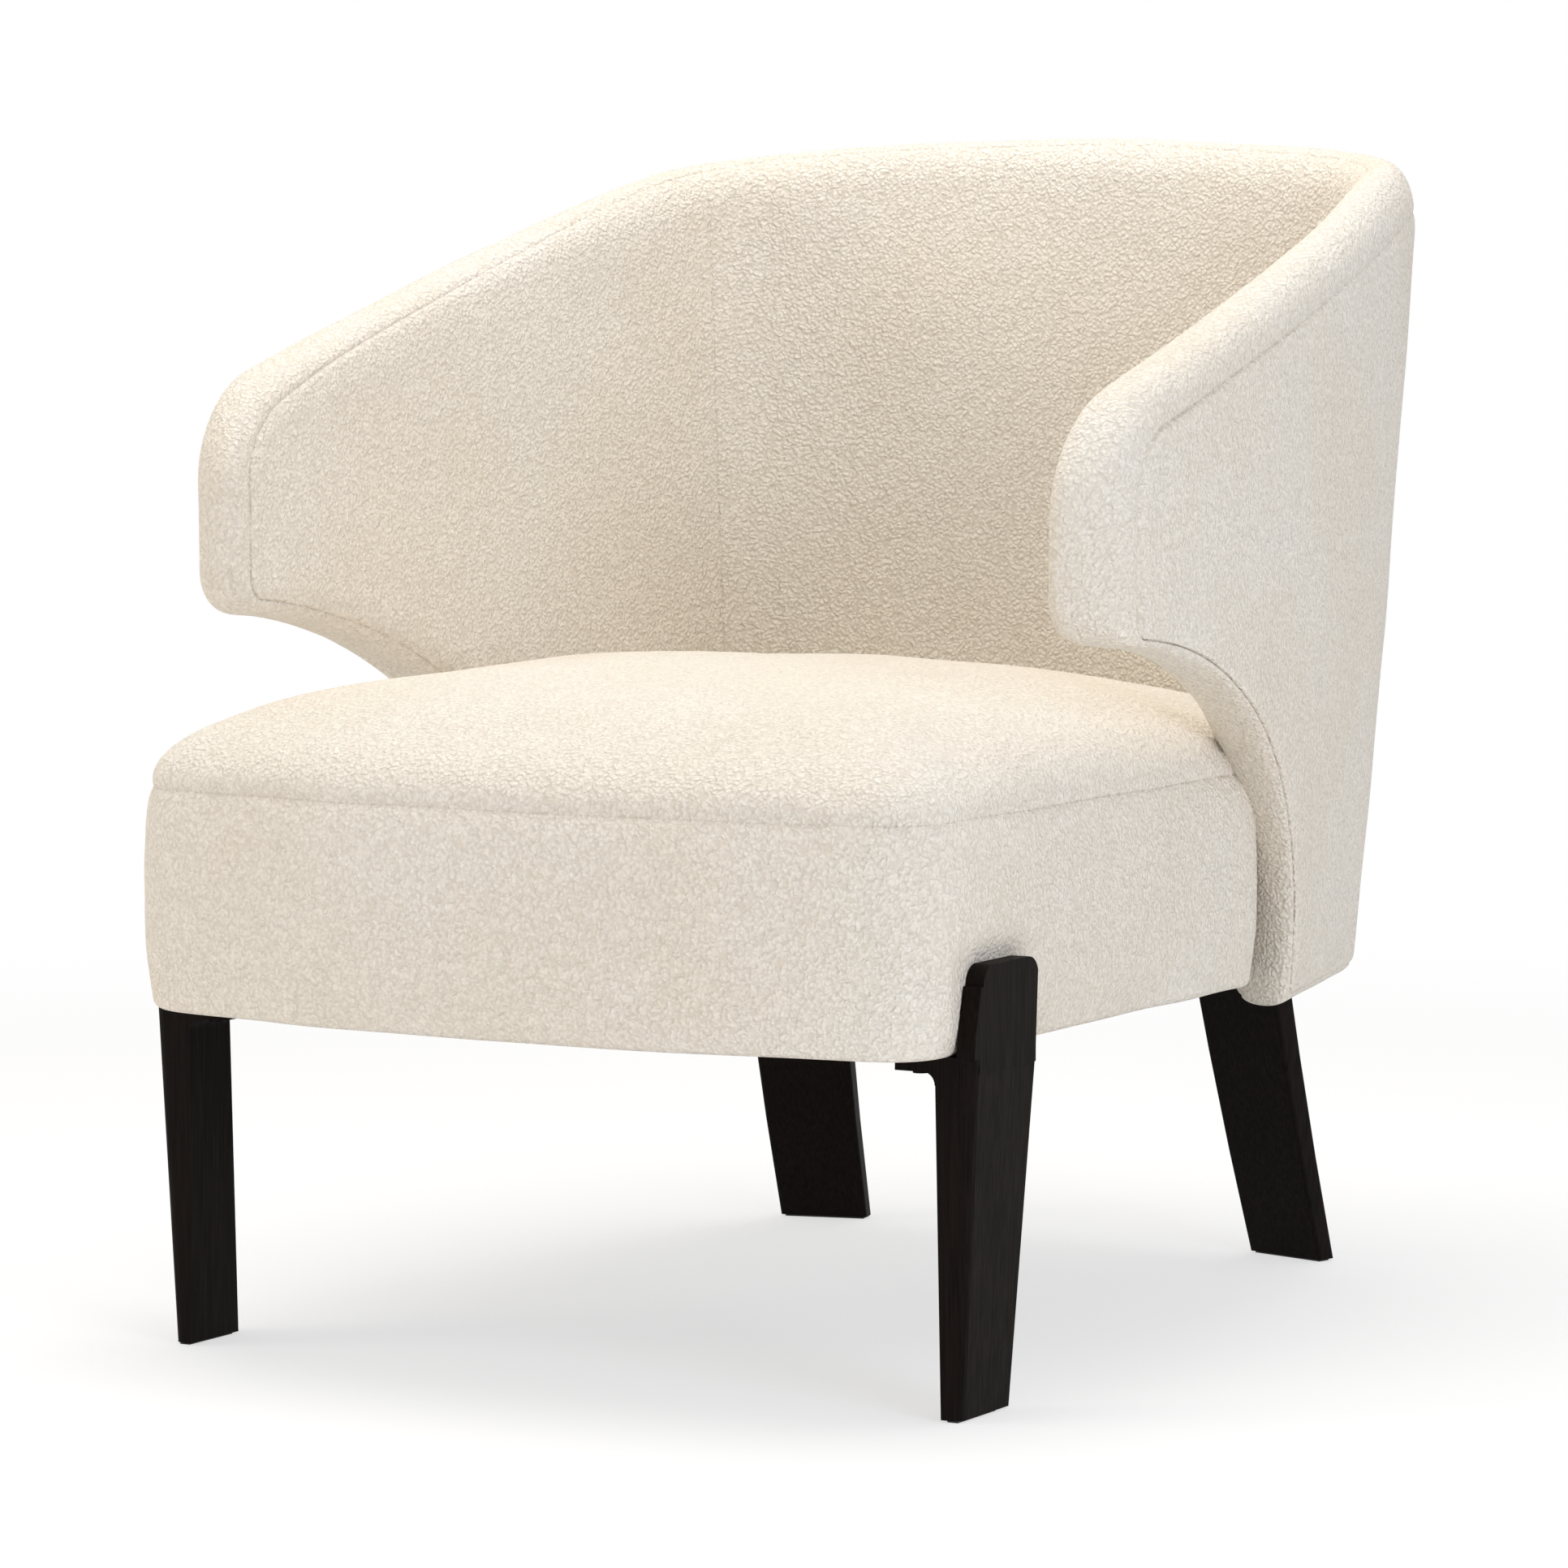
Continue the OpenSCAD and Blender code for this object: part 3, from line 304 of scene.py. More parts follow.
# the shell's surface, from the same rules as the part, in metres and degrees
shell = {
    "backRadius": 0.860, "cornerRadius": 0.080, "cornerX": 0.193, "cornerY": 0.273,
    "armFlare": 13.0, "armRadius": 2.2, "armLength": 0.523,
    "backHeight": 0.791, "archRadius": 2.65, "armSlope": 0.293, "bottom": 0.219,
    "backLean": 0.07, "armLean": 0.015, "hemTuck": 0.004,
    "leanFrom": 0.5, "leanRun": 0.75,   # height it leans out from, and the share of an arm this fades over
    "topBlend": 0.008,                  # rounds the corner where the tops of the back and an arm meet
    "notchLength": 0.348, "notchSlant": 0.026, "notchHeight": 0.262,
    "topRound": 0.050, "lowRound": 0.026, "endTurn": 22.0,
    "tightRound": 0.0056, "easyRound": 0.016,   # further in, the lower front corner turns tighter
    "thick": 0.049, "swell": 0.008, "lowSwell": 0.003, "seamSetback": 0.022,
}
half = shell["thick"] / 2
backTurn = math.asin(shell["cornerX"] / (shell["backRadius"] - shell["cornerRadius"]))
backCentreY = shell["cornerY"] - (shell["backRadius"] - shell["cornerRadius"]) * math.cos(backTurn)
flare = math.radians(shell["armFlare"])
cornerTurn = math.pi / 2 - flare - backTurn
sBack = shell["backRadius"] * backTurn
sCorner = sBack + shell["cornerRadius"] * cornerTurn
sArm = sCorner + shell["armLength"]
sSeam = sCorner - shell["seamSetback"]


def lineAt(s):
    # plan of the middle line: x, y and outward normal, for distances s >= 0
    r, c = shell["backRadius"], shell["cornerRadius"]
    a1 = s / r
    x1, y1 = r * np.sin(a1), backCentreY + r * np.cos(a1)
    a2 = backTurn + (s - sBack) / c
    x2, y2 = shell["cornerX"] + c * np.sin(a2), shell["cornerY"] + c * np.cos(a2)
    g = flare - (s - sCorner) / shell["armRadius"]
    x3 = shell["cornerX"] + c * math.cos(flare) + shell["armRadius"] * (np.cos(g) - math.cos(flare))
    y3 = shell["cornerY"] + c * math.sin(flare) + shell["armRadius"] * (np.sin(g) - math.sin(flare))
    onBack, onCorner = s < sBack, (s >= sBack) & (s < sCorner)
    x = np.where(onBack, x1, np.where(onCorner, x2, x3))
    y = np.where(onBack, y1, np.where(onCorner, y2, y3))
    nx = np.where(onBack, np.sin(a1), np.where(onCorner, np.sin(a2), np.cos(g)))
    ny = np.where(onBack, np.cos(a1), np.where(onCorner, np.cos(a2), np.sin(g)))
    return x, y, nx, ny


def shellPoint(s, z, off):
    s, z, off = np.broadcast_arrays(np.asarray(s, float), np.asarray(z, float), np.asarray(off, float))
    a = np.abs(s)
    x, y, nx, ny = lineAt(a)
    w = np.clip((sArm - a) / (shell["armLength"] * shell["leanRun"]), 0, 1)
    lean = shell["armLean"] + (shell["backLean"] - shell["armLean"]) * w
    middle = shell["leanFrom"]
    pull = shell["hemTuck"] * np.clip((middle - z) / (middle - shell["bottom"]), 0, 1) ** 2
    out = off + lean * (z - middle) - w * pull
    return np.stack([np.where(s < 0, -1, 1) * (x + out * nx), y + out * ny, z], -1)


def topZ(s, e):
    back = shell["backHeight"] - s * s / 2 / shell["archRadius"]
    arm = shell["backHeight"] - sSeam ** 2 / 2 / shell["archRadius"] - shell["armSlope"] * (s - sSeam)
    return (back + arm - np.sqrt((back - arm) ** 2 + shell["topBlend"] ** 2)) / 2 + e


# columns of the grid on each half: middle of the back, up to the seam, past it, side, cut below the arm, end
backSteps, cornerSteps, seamSteps, sideSteps, notchSteps, roundSteps = 26, 11, 4, 20, 30, 12
columnCount = [backSteps, cornerSteps, seamSteps, sideSteps, notchSteps + 1, roundSteps]
columnKind = np.repeat(np.arange(6), columnCount)
columnPart = np.concatenate([np.arange(n) / n for n in columnCount[:4]]
                            + [np.linspace(0, 1, notchSteps + 1), np.linspace(0, 1, roundSteps + 1)[1:]])
lastColumn = len(columnKind) - 1
seamColumn = backSteps + cornerSteps


def columnsAt(off, e, el):
    # distance, lower and upper height of every column from the right end to the left; e and el go past
    # the rim's line above and below, and each may differ from column to column
    k, u = columnKind, columnPart
    off, e, el = (np.broadcast_to(np.asarray(v, float), k.shape) for v in (off, e, el))
    nl = shell["notchLength"] + shell["notchSlant"] * (0.5 - off / 2 / half) - el
    nh, low = shell["notchHeight"] - el, shell["bottom"] - el
    sEnd = sArm + e - off * math.tan(math.radians(shell["endTurn"]))
    rt = shell["topRound"] + e
    rl = np.maximum(shell["lowRound"] + e, shell["tightRound"])
    rz = (shell["lowRound"] + el) * np.minimum(1, rl / shell["easyRound"])
    sRound = sEnd - rt
    a = np.arccos((sArm - sRound) / nl) * u
    b = math.pi / 2 * u
    onBack, onCorner = sBack * u, sBack + (sSeam - sBack) * u
    pastSeam, onSide = sSeam + (sCorner - sSeam) * u, sCorner + (sArm - nl - sCorner) * u
    s = np.select([k == 0, k == 1, k == 2, k == 3, k == 4],
                  [onBack, onCorner, pastSeam, onSide, sArm - nl * np.cos(a)], sRound + rt * np.sin(b))
    across = np.clip((sArm - s) / nl, 0, 1)
    under = np.where((k < 4) | ((k == 4) & (u == 0)), low, shell["bottom"] + nh * np.sqrt(1 - across ** 2))
    into = np.where(k == 5, np.clip((s - sEnd + rl) / rl, 0, 1), 0)
    under = under + rz * (1 - np.sqrt(1 - into ** 2))
    top = topZ(s, e) - np.where(k == 5, rt * (1 - np.cos(b)), 0)
    return [np.concatenate([sign * v[:0:-1], v]) for sign, v in ((-1, s), (1, under), (1, top))]


def edgeSpread(n, mix=0.6):
    # 0 to 1, closer together towards both ends, so that the roll at a seam is well drawn
    u = np.linspace(0, 1, n + 1)
    return (1 - mix) * u + mix * (1 - np.cos(math.pi * u)) / 2


def gridFaces(cols, rows, loop=False):
    # quads of a grid stored column by column; loop joins the last column to the first
    faces = []
    for i in range(cols if loop else cols - 1):
        k = (i + 1) % cols
        for j in range(rows - 1):
            faces.append((i * rows + j, k * rows + j, k * rows + j + 1, i * rows + j + 1))
    return faces


def closeMiddle(ring, middle):
    # triangles from the innermost ring to one point in the middle
    return [(ring[i], ring[(i + 1) % len(ring)], middle) for i in range(len(ring))]


def makeMesh(name, points, faces, material):
    mesh = bpy.data.meshes.new(name)
    mesh.from_pydata([tuple(p) for p in points], [], [tuple(f) for f in faces])
    mesh.update()
    mesh.materials.append(material)
    mesh.polygons.foreach_set("use_smooth", [True] * len(mesh.polygons))
    obj = bpy.data.objects.new(name, mesh)
    scene.collection.objects.link(obj)
    return obj


def readPoints(mesh):
    flat = np.empty(len(mesh.vertices) * 3)
    mesh.vertices.foreach_get("co", flat)
    return flat.reshape(-1, 3)


def fillWithAir(obj, pinned, pressure, cap, stiffness=12.0, frames=18):
    # cloth held along its seams is blown up a little, and no point moves further than cap
    start = readPoints(obj.data)
    group = obj.vertex_groups.new(name="seams")
    group.add([int(i) for i in pinned], 1.0, "REPLACE")
    cloth = obj.modifiers.new("filling", "CLOTH")
    s = cloth.settings
    s.quality = 4
    s.mass = 0.25
    s.tension_stiffness = stiffness
    s.compression_stiffness = stiffness
    s.shear_stiffness = stiffness / 2
    s.bending_stiffness = 0.6
    s.tension_damping = 12
    s.air_damping = 4
    s.vertex_group_mass = "seams"
    s.use_pressure = True
    s.uniform_pressure_force = pressure
    s.effector_weights.gravity = 0
    cloth.collision_settings.use_collision = False
    cloth.collision_settings.use_self_collision = False
    cloth.point_cache.frame_start = 1
    cloth.point_cache.frame_end = frames
    for f in range(1, frames + 1):
        scene.frame_set(f)
    found = readPoints(obj.evaluated_get(bpy.context.evaluated_depsgraph_get()).to_mesh())
    obj.modifiers.remove(cloth)
    scene.frame_set(1)
    move = found - start
    normal = np.empty(len(start) * 3)
    obj.data.vertices.foreach_get("normal", normal)
    normal = normal.reshape(-1, 3)
    inward = np.minimum((move * normal).sum(1), 0)
    move -= normal * inward[:, None] * 0.85   # the padding behind keeps the cover from going in
    size = np.linalg.norm(move, axis=1)
    soft = cap * np.tanh(size / cap)
    end = start + move * (soft / np.maximum(size, 1e-9))[:, None]
    obj.data.vertices.foreach_set("co", end.ravel())
    obj.data.update()
    print(obj.name, "filled, moved up to", round(float(soft.max()) * 1000, 1), "mm")


unevenness = {"amount": 0.0011, "wave": 0.085, "seed": 3}
noise.seed_set(unevenness["seed"])   # the same in every run


def unevenPadding(obj):
    # hand-laid padding is never quite even; one field for every piece, so the seams stay closed
    for v in obj.data.vertices:
        v.co += noise.noise_vector(v.co / unevenness["wave"]) * unevenness["amount"]
    obj.data.update()


def finishSoft(obj, depth, levels=1):
    # closes the cover over its padding, then smooths it
    body = obj.modifiers.new("padding", "SOLIDIFY")
    body.thickness = depth
    body.offset = -1
    smooth = obj.modifiers.new("smooth", "SUBSURF")
    smooth.levels = levels
    smooth.render_levels = levels
    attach(obj, bodyName)


rimShape = {
    # each pair is for the front of an arm and for the back, and changes over smoothly in between
    "frontPart": 0.04,             # behind this length of the arm
    "start": (0.018, 0.020),       # inside, the rim starts to round off this far below the line of its top
    "startOut": (0.036, 0.040),    # and outside
    "startLow": (0.010, 0.010),    # and this far above the line of the hem and of the cut below an arm
    "startLowOut": (0.005, 0.010),
    "full": 0.0032,                # the padded rim stands this much prouder than its line
    "fullLow": (0.0005, 0.0030),   # the same at the cut below an arm, and at the hem
    "squareAcross": (2.8, 2.1),    # 2 is an ellipse, more is squarer
    "squareUp": (2.8, 2.0),
    "squareOut": (3.1, 2.05),      # outside, both ways
    "seamFrom": (0.0, 0.03, 0.11, 0.50),       # distances from the end of an arm, towards the back
    "innerSeam": (6, 8, 28, 60),   # degrees round the rim from the inside face to the band's first seam
    "outerSeam": (167, 160),       # and to the second; the band hangs over to the outside
    "crease": (0.0020, 0.0010), "outerCrease": (0.0040, 0.0016),   # how deep the two seams sit
    "creaseWidth": 0.0026,
    "sideLap": 0.0022, "sideCrease": 0.0004,   # the upright seams of the inside back
}
# past a seam both pieces go on this far and dive this deep, and then turn in, which closes the crease
seamAllowance = [(0.0014, 0.0007), (0.0020, 0.0035)]
nominal = columnsAt(0, 0, 0)[0][lastColumn:]
frontEnd = sArm - rimShape["frontPart"]
backShare = np.clip((frontEnd - nominal) / (frontEnd - sSeam), 0, 1)
backShare = backShare ** 2 * (3 - 2 * backShare)
rim = {key: value[0] + (value[1] - value[0]) * backShare
       for key, value in rimShape.items() if isinstance(value, tuple) and len(value) == 2}
hemShare = np.where(columnKind < 4, 1.0, np.where(columnKind == 4, np.exp(-columnPart * 8), 0.0))
rim["fullLow"] = rimShape["fullLow"][0] + (rimShape["fullLow"][1] - rimShape["fullLow"][0]) * hemShare
innerSeam = np.interp(sArm - nominal, rimShape["seamFrom"], rimShape["innerSeam"])
seamAngle = [np.radians(innerSeam), np.radians(rim["outerSeam"])]
creases = [rim["crease"], rim["outerCrease"]]


def hiddenRings(crease):
    # how far past the seam, as an angle, and how deep
    return [(along / half, crease + deep) for along, deep in seamAllowance]


def rimLevel(angle, sink=0.0):
    # across, above and below, for an angle round the rim: 0 is the inside face, pi the outside;
    # sink goes in from the surface
    c = np.cos(angle)
    inside = c > 0
    across = np.where(inside, rim["squareAcross"], rim["squareOut"])
    up = np.where(inside, rim["squareUp"], rim["squareOut"])
    v, w = np.abs(np.sin(angle)) ** (2 / up), np.abs(c) ** (2 / across)
    start = np.where(inside, rim["start"], rim["startOut"])
    startLow = np.where(inside, rim["startLow"], rim["startLowOut"])
    high, deep = shell["swell"] + rimShape["full"] + start, shell["lowSwell"] + rim["fullLow"] + startLow
    outward = np.maximum(w, 1e-6) ** (across - 1) * across / half
    upward = np.maximum(v, 1e-6) ** (up - 1) * up / high
    size = np.hypot(outward, upward)
    off = -np.sign(c) * (half * w - sink * outward / size)
    return off, high * v - start - sink * upward / size, deep * v - startLow - sink * upward / size


def bothHalves(values):
    values = np.broadcast_to(values, columnKind.shape)
    return np.concatenate([values[:0:-1], values])


class ringMaker:
    # points of the cover on a run of grid places, each a column and a row, for one level round the rim
    def __init__(self, places, share, shift, sunk):
        self.i = np.array([q[0] for q in places])
        self.j = np.array([q[1] for q in places])
        self.share, self.shift, self.sunk = share, shift, sunk

    def at(self, angle, sink=0.0):
        off, e, el = rimLevel(angle, sink)
        s, low, high = columnsAt(off, e, el)
        off = bothHalves(off)
        i = self.i
        z = low[i] + (high[i] - low[i]) * self.share[self.j]
        side = np.sign(off[i])
        return shellPoint(s[i] + self.shift[i], z, off[i] - side * self.sunk[i])


def edgeRuns(n, rows, openFirst, openLast):
    # the grid places along the rim, in order; an open end is an upright seam and gets no rings
    bottom = [(k, 0) for k in range(n)]
    top = [(k, rows - 1) for k in range(n)][::-1]
    right = [] if openLast else [(n - 1, j) for j in range(1, rows - 1)]
    left = [] if openFirst else [(0, j) for j in range(1, rows - 1)][::-1]
    if openFirst and openLast:
        return [bottom, top]
    if openFirst:
        return [bottom + right + top]
    if openLast:
        return [top + left + bottom]
    return [bottom + right + top + left]


# wide is the length of cover from where the rim starts to the seam
panelFill = {"rows": 44, "levels": 7, "wide": 0.020, "pressure": 4.0, "cap": 0.0010, "depth": 0.004}


def makePanel(name, side, first, last, replaced):
    # one panel of the cover; its grid stops where the rim starts to round, and rings carry it on to the seam
    p, r = panelFill, rimShape
    share = np.linspace(0, 1, p["rows"] + 1)
    cols = list(range(lastColumn + first, lastColumn + last + 1))
    shift, sunk = np.zeros(2 * lastColumn + 1), np.zeros(2 * lastColumn + 1)
    sNow = columnsAt(0, 0, 0)[0]
    for end in (first, last):
        if abs(end) == seamColumn:
            near = np.abs(sNow - sNow[lastColumn + end])
            sunk = np.maximum(sunk, r["sideCrease"] * np.exp(-near / r["creaseWidth"]))
            shift[lastColumn + end] = r["sideLap"] * (1 if end == last else -1)
    rows = len(share)
    places = [(i, j) for i in cols for j in range(rows)]
    start = 0.0 if side < 0 else math.pi
    seam, crease = (seamAngle[0], creases[0]) if side < 0 else (seamAngle[1], creases[1])
    grid = ringMaker(places, share, shift, sunk).at(np.full(columnKind.shape, start))
    n = len(cols)
    faces = gridFaces(n, rows)
    openFirst, openLast = abs(first) == seamColumn, abs(last) == seamColumn
    points = [grid]
    total = len(grid)
    pinned = set()
    for run in edgeRuns(n, rows, openFirst, openLast):
        loop = not (openFirst or openLast)
        ring = ringMaker([(cols[k], j) for k, j in run], share, shift, sunk)
        before = np.array([k * rows + j for k, j in run])
        toSeam = 1 - np.linspace(1, 0, p["levels"] + 1)[1:] ** 1.8   # closer together towards the seam
        levels = []
        for u in toSeam:
            sink = crease * math.exp(-(1 - u) * p["wide"] / r["creaseWidth"])
            levels.append((start + (seam - start) * u, sink))
        levels += [(seam - side * along, deep) for along, deep in hiddenRings(crease)]
        for k, (angle, sink) in enumerate(levels):
            points.append(ring.at(angle, sink))
            now = total + np.arange(len(run))
            total += len(run)
            m = len(run)
            for q in range(m if loop else m - 1):
                after = (q + 1) % m
                faces.append((now[q], now[after], before[after], before[q]))
            before = now
            if k >= len(levels) - 3:
                pinned |= set(now.tolist())
            for end, isOpen in ((0, openFirst), (n - 1, openLast)):
                if isOpen:
                    pinned |= {int(now[q]) for q in range(m) if run[q][0] == end}
    for end, isOpen in ((0, openFirst), (n - 1, openLast)):
        if isOpen:
            pinned |= {end * rows + j for j in range(rows)}
    if side > 0:
        faces = [f[::-1] for f in faces]
    obj = makeMesh(name, np.concatenate(points), faces, boucle)
    fillWithAir(obj, pinned, p["pressure"], p["cap"])
    unevenPadding(obj)
    finishSoft(obj, p["depth"])
    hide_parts(*replaced)
    return obj


makePanel("insideBack", -1, -seamColumn, seamColumn, ["cover_inside_back", "shell_inner_foam"])
makePanel("insideArmLeft", -1, seamColumn, lastColumn, ["cover_inside_arm_left"])
makePanel("insideArmRight", -1, -lastColumn, -seamColumn, ["cover_inside_arm_right"])
makePanel("outsideCover", 1, -lastColumn, lastColumn, ["cover_outside", "shell_outer_padding"])
print("shell panels made")

# wide is the width of the band from seam to seam
bandFill = {"across": 26, "wide": 0.085, "endSteps": 30, "pressure": 3.0, "cap": 0.0008, "depth": 0.004}


def makeBand():
    # the border band: a long strip over the rim, sewn to the panels along both edges
    b, r = bandFill, rimShape
    share = np.linspace(0, 1, b["endSteps"] + 1)
    n = 2 * lastColumn + 1
    rows = len(share)
    run = [(i, 0) for i in range(n)] + [(n - 1, j) for j in range(1, rows - 1)]
    run += [(i, rows - 1) for i in range(n)][::-1] + [(0, j) for j in range(1, rows - 1)][::-1]
    ring = ringMaker(run, share, np.zeros(n), np.zeros(n))
    inner, outer = seamAngle
    levels = [ring.at(inner - along, deep) for along, deep in hiddenRings(creases[0])[::-1]]
    for u in edgeSpread(b["across"], 0.85):
        sunk = 0
        for crease, far in zip(creases, (u, 1 - u)):
            sunk = sunk + crease * math.exp(-far * b["wide"] / r["creaseWidth"])
        levels.append(ring.at(inner + (outer - inner) * u, sunk))
    levels += [ring.at(outer + along, deep) for along, deep in hiddenRings(creases[1])]
    points = np.stack(levels, 1)
    cols, across = points.shape[:2]
    index = np.arange(cols * across).reshape(cols, across)
    pinned = set(index[:, :3].ravel()) | set(index[:, -3:].ravel())
    faces = [f[::-1] for f in gridFaces(cols, across, loop=True)]
    obj = makeMesh("borderBand", points.reshape(-1, 3), faces, boucle)
    fillWithAir(obj, pinned, b["pressure"], b["cap"])
    unevenPadding(obj)
    finishSoft(obj, b["depth"])
    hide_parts("cover_border_band", "shell_edge_roll")


makeBand()
print("border band made")

seat = {
    "halfWidth": 0.291, "front": -0.4165, "frontRadius": 1.240, "corner": 0.046,
    "frontSwell": 0.005, "sideSwell": 0.003, "bottom": 0.2295, "seam": 0.375,
    "tuck": 0.028, "tuckTurn": 70,   # at the back corners the sides turn in behind the ends of the shell
    "crown": 0.0723, "centre": -0.037, "shoulder": 0.448,
    "powerFront": 2.84, "powerSide": 3.41, "powerBack": 1.56,   # a higher power gives a flatter crown
    "backDrop": 0.0093,       # towards the back corners the cover is pulled down by this
    "dropFrom": -0.02, "dropRun": 0.22, "dropEdge": 0.12,
    "fullFront": 0.0018, "fullSide": 0.0040,   # padding that stands proud once the cover is pulled over it
}
frontCentreY = seat["front"] + seat["frontRadius"]
seatCornerX = seat["halfWidth"] - seat["corner"]
seatCornerY = frontCentreY - math.sqrt((seat["frontRadius"] - seat["corner"]) ** 2 - seatCornerX ** 2)
frontTurn = math.asin(seatCornerX / (seat["frontRadius"] - seat["corner"]))
sEdge = sArm - shell["notchLength"]
tuckY = float(shellPoint(sEdge + shell["swell"], seat["bottom"], 0)[1]) - seat["tuck"]


def seatOutline(z, inset, full, proud=0.0):
    front = seat["frontSwell"] * full - inset + seat["fullFront"] * proud
    side = seat["sideSwell"] * full - inset + seat["fullSide"] * proud
    tuck = max(seat["tuck"] - inset, 0.002)
    tuckX = seat["halfWidth"] - inset - tuck
    a = np.linspace(0, frontTurn, 27)[:-1]
    frontRadius = seat["frontRadius"] + front
    parts = [np.stack([frontRadius * np.sin(a), frontCentreY - frontRadius * np.cos(a)], 1)]
    a = np.linspace(frontTurn, math.pi / 2, 13)
    cornerX = seatCornerX + (seat["corner"] + side) * np.sin(a)
    cornerY = seatCornerY - (seat["corner"] + front) * np.cos(a)
    parts.append(np.stack([cornerX, cornerY], 1))
    sideX = seat["halfWidth"] + side
    y = np.linspace(seatCornerY, tuckY, 42)[1:-1]
    parts.append(np.stack([np.full(len(y), sideX), y], 1))
    u = np.linspace(0, 1, 9)
    a = math.pi / 2 + math.radians(seat["tuckTurn"]) * u
    r = tuck + (seat["sideSwell"] * full + seat["fullSide"] * proud) * (1 - u)
    parts.append(np.stack([tuckX + r * np.sin(a), tuckY - r * np.cos(a)], 1))
    # then along the inside of the shell to the middle of the back
    s = np.concatenate([np.linspace(sEdge - 0.008, sCorner, 16, endpoint=False),
                        np.linspace(sCorner, sBack, 8, endpoint=False), np.linspace(sBack, 0, 18)])
    parts.append(shellPoint(s, z, -half - 0.0003 - inset)[:, :2])
    h = np.concatenate(parts)
    mirror = h[-2:0:-1] * [-1, 1]
    return np.concatenate([h, mirror])


seatSeam = {"depth": 0.0034, "width": 0.0045, "lap": 0.0018, "turnIn": 0.0035}
borderFill = {"cap": 0.002, "pressure": 5.0, "rows": 34, "hem": 0.005, "turnUnder": 0.036, "depth": 0.005}


legPress = {"proud": -0.0004, "edge": 0.003, "slope": 0.45}


def pressUnderLegs(obj):
    # the wooden tabs of the front legs press the padding in, and it rises again round them
    for leg in ("front_leg_left", "front_leg_right"):
        low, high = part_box(leg)
        side = 1 if low[0] + high[0] > 0 else -1
        face = seat["halfWidth"] + seat["sideSwell"] + legPress["proud"]
        for v in obj.data.vertices:
            if v.co.x * side < face:
                continue
            away = math.hypot(max(low[1] - v.co.y, v.co.y - high[1], 0), max(v.co.z - high[2], 0))
            rise = max(0, away - legPress["edge"]) * legPress["slope"]
            v.co.x = side * min(v.co.x * side, face + rise)
    obj.data.update()


def makeSeatBorder():
    # the seat's upright border, turned under the frame at the hem
    b = borderFill
    rows = []
    for u in (0.0, 0.5, 0.85, 1.0):
        rows.append((seat["bottom"] - 0.0002 + 0.0002 * u, b["turnUnder"] * (1 - u) + b["hem"] * u, 0.0))
    for a in np.radians((30, 60, 90)):
        rows.append((seat["bottom"] + b["hem"] * (1 - math.cos(a)), b["hem"] * (1 - math.sin(a)), 0.1))
    z0, z1 = seat["bottom"] + b["hem"], seat["seam"]
    for u in edgeSpread(b["rows"], 0.7)[1:]:
        z = z0 + (z1 - z0) * u
        h = (z - seat["bottom"]) / (z1 - seat["bottom"])
        sunk = seatSeam["depth"] * math.exp(-(z1 - z) / seatSeam["width"])
        rows.append((z + (seatSeam["lap"] if u == 1 else 0), sunk, max(0.0, 1 - (2 * h - 1) ** 2)))
    rows.append((z1 - seatSeam["lap"], seatSeam["depth"] + seatSeam["turnIn"], 0.0))
    runs = []
    for z, inset, full in rows:
        ring = seatOutline(z, inset, full, float(np.clip((z - seat["bottom"]) / 0.04, 0, 1)))
        runs.append(np.column_stack([ring, np.full(len(ring), z)]))
    points = np.stack(runs, 1)
    cols, n = points.shape[:2]
    index = np.arange(cols * n).reshape(cols, n)
    pinned = set(index[:, :4].ravel()) | set(index[:, -2:].ravel())
    obj = makeMesh("seatBorder", points.reshape(-1, 3), gridFaces(cols, n, loop=True), boucle)
    fillWithAir(obj, pinned, b["pressure"], b["cap"])
    unevenPadding(obj)
    pressUnderLegs(obj)
    finishSoft(obj, b["depth"])
    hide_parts("seat_cover_border", "seat_side_padding", "seat_cover_turn_under")


topFill = {"cap": 0.003, "pressure": 5.0, "rings": 52, "depth": 0.004}


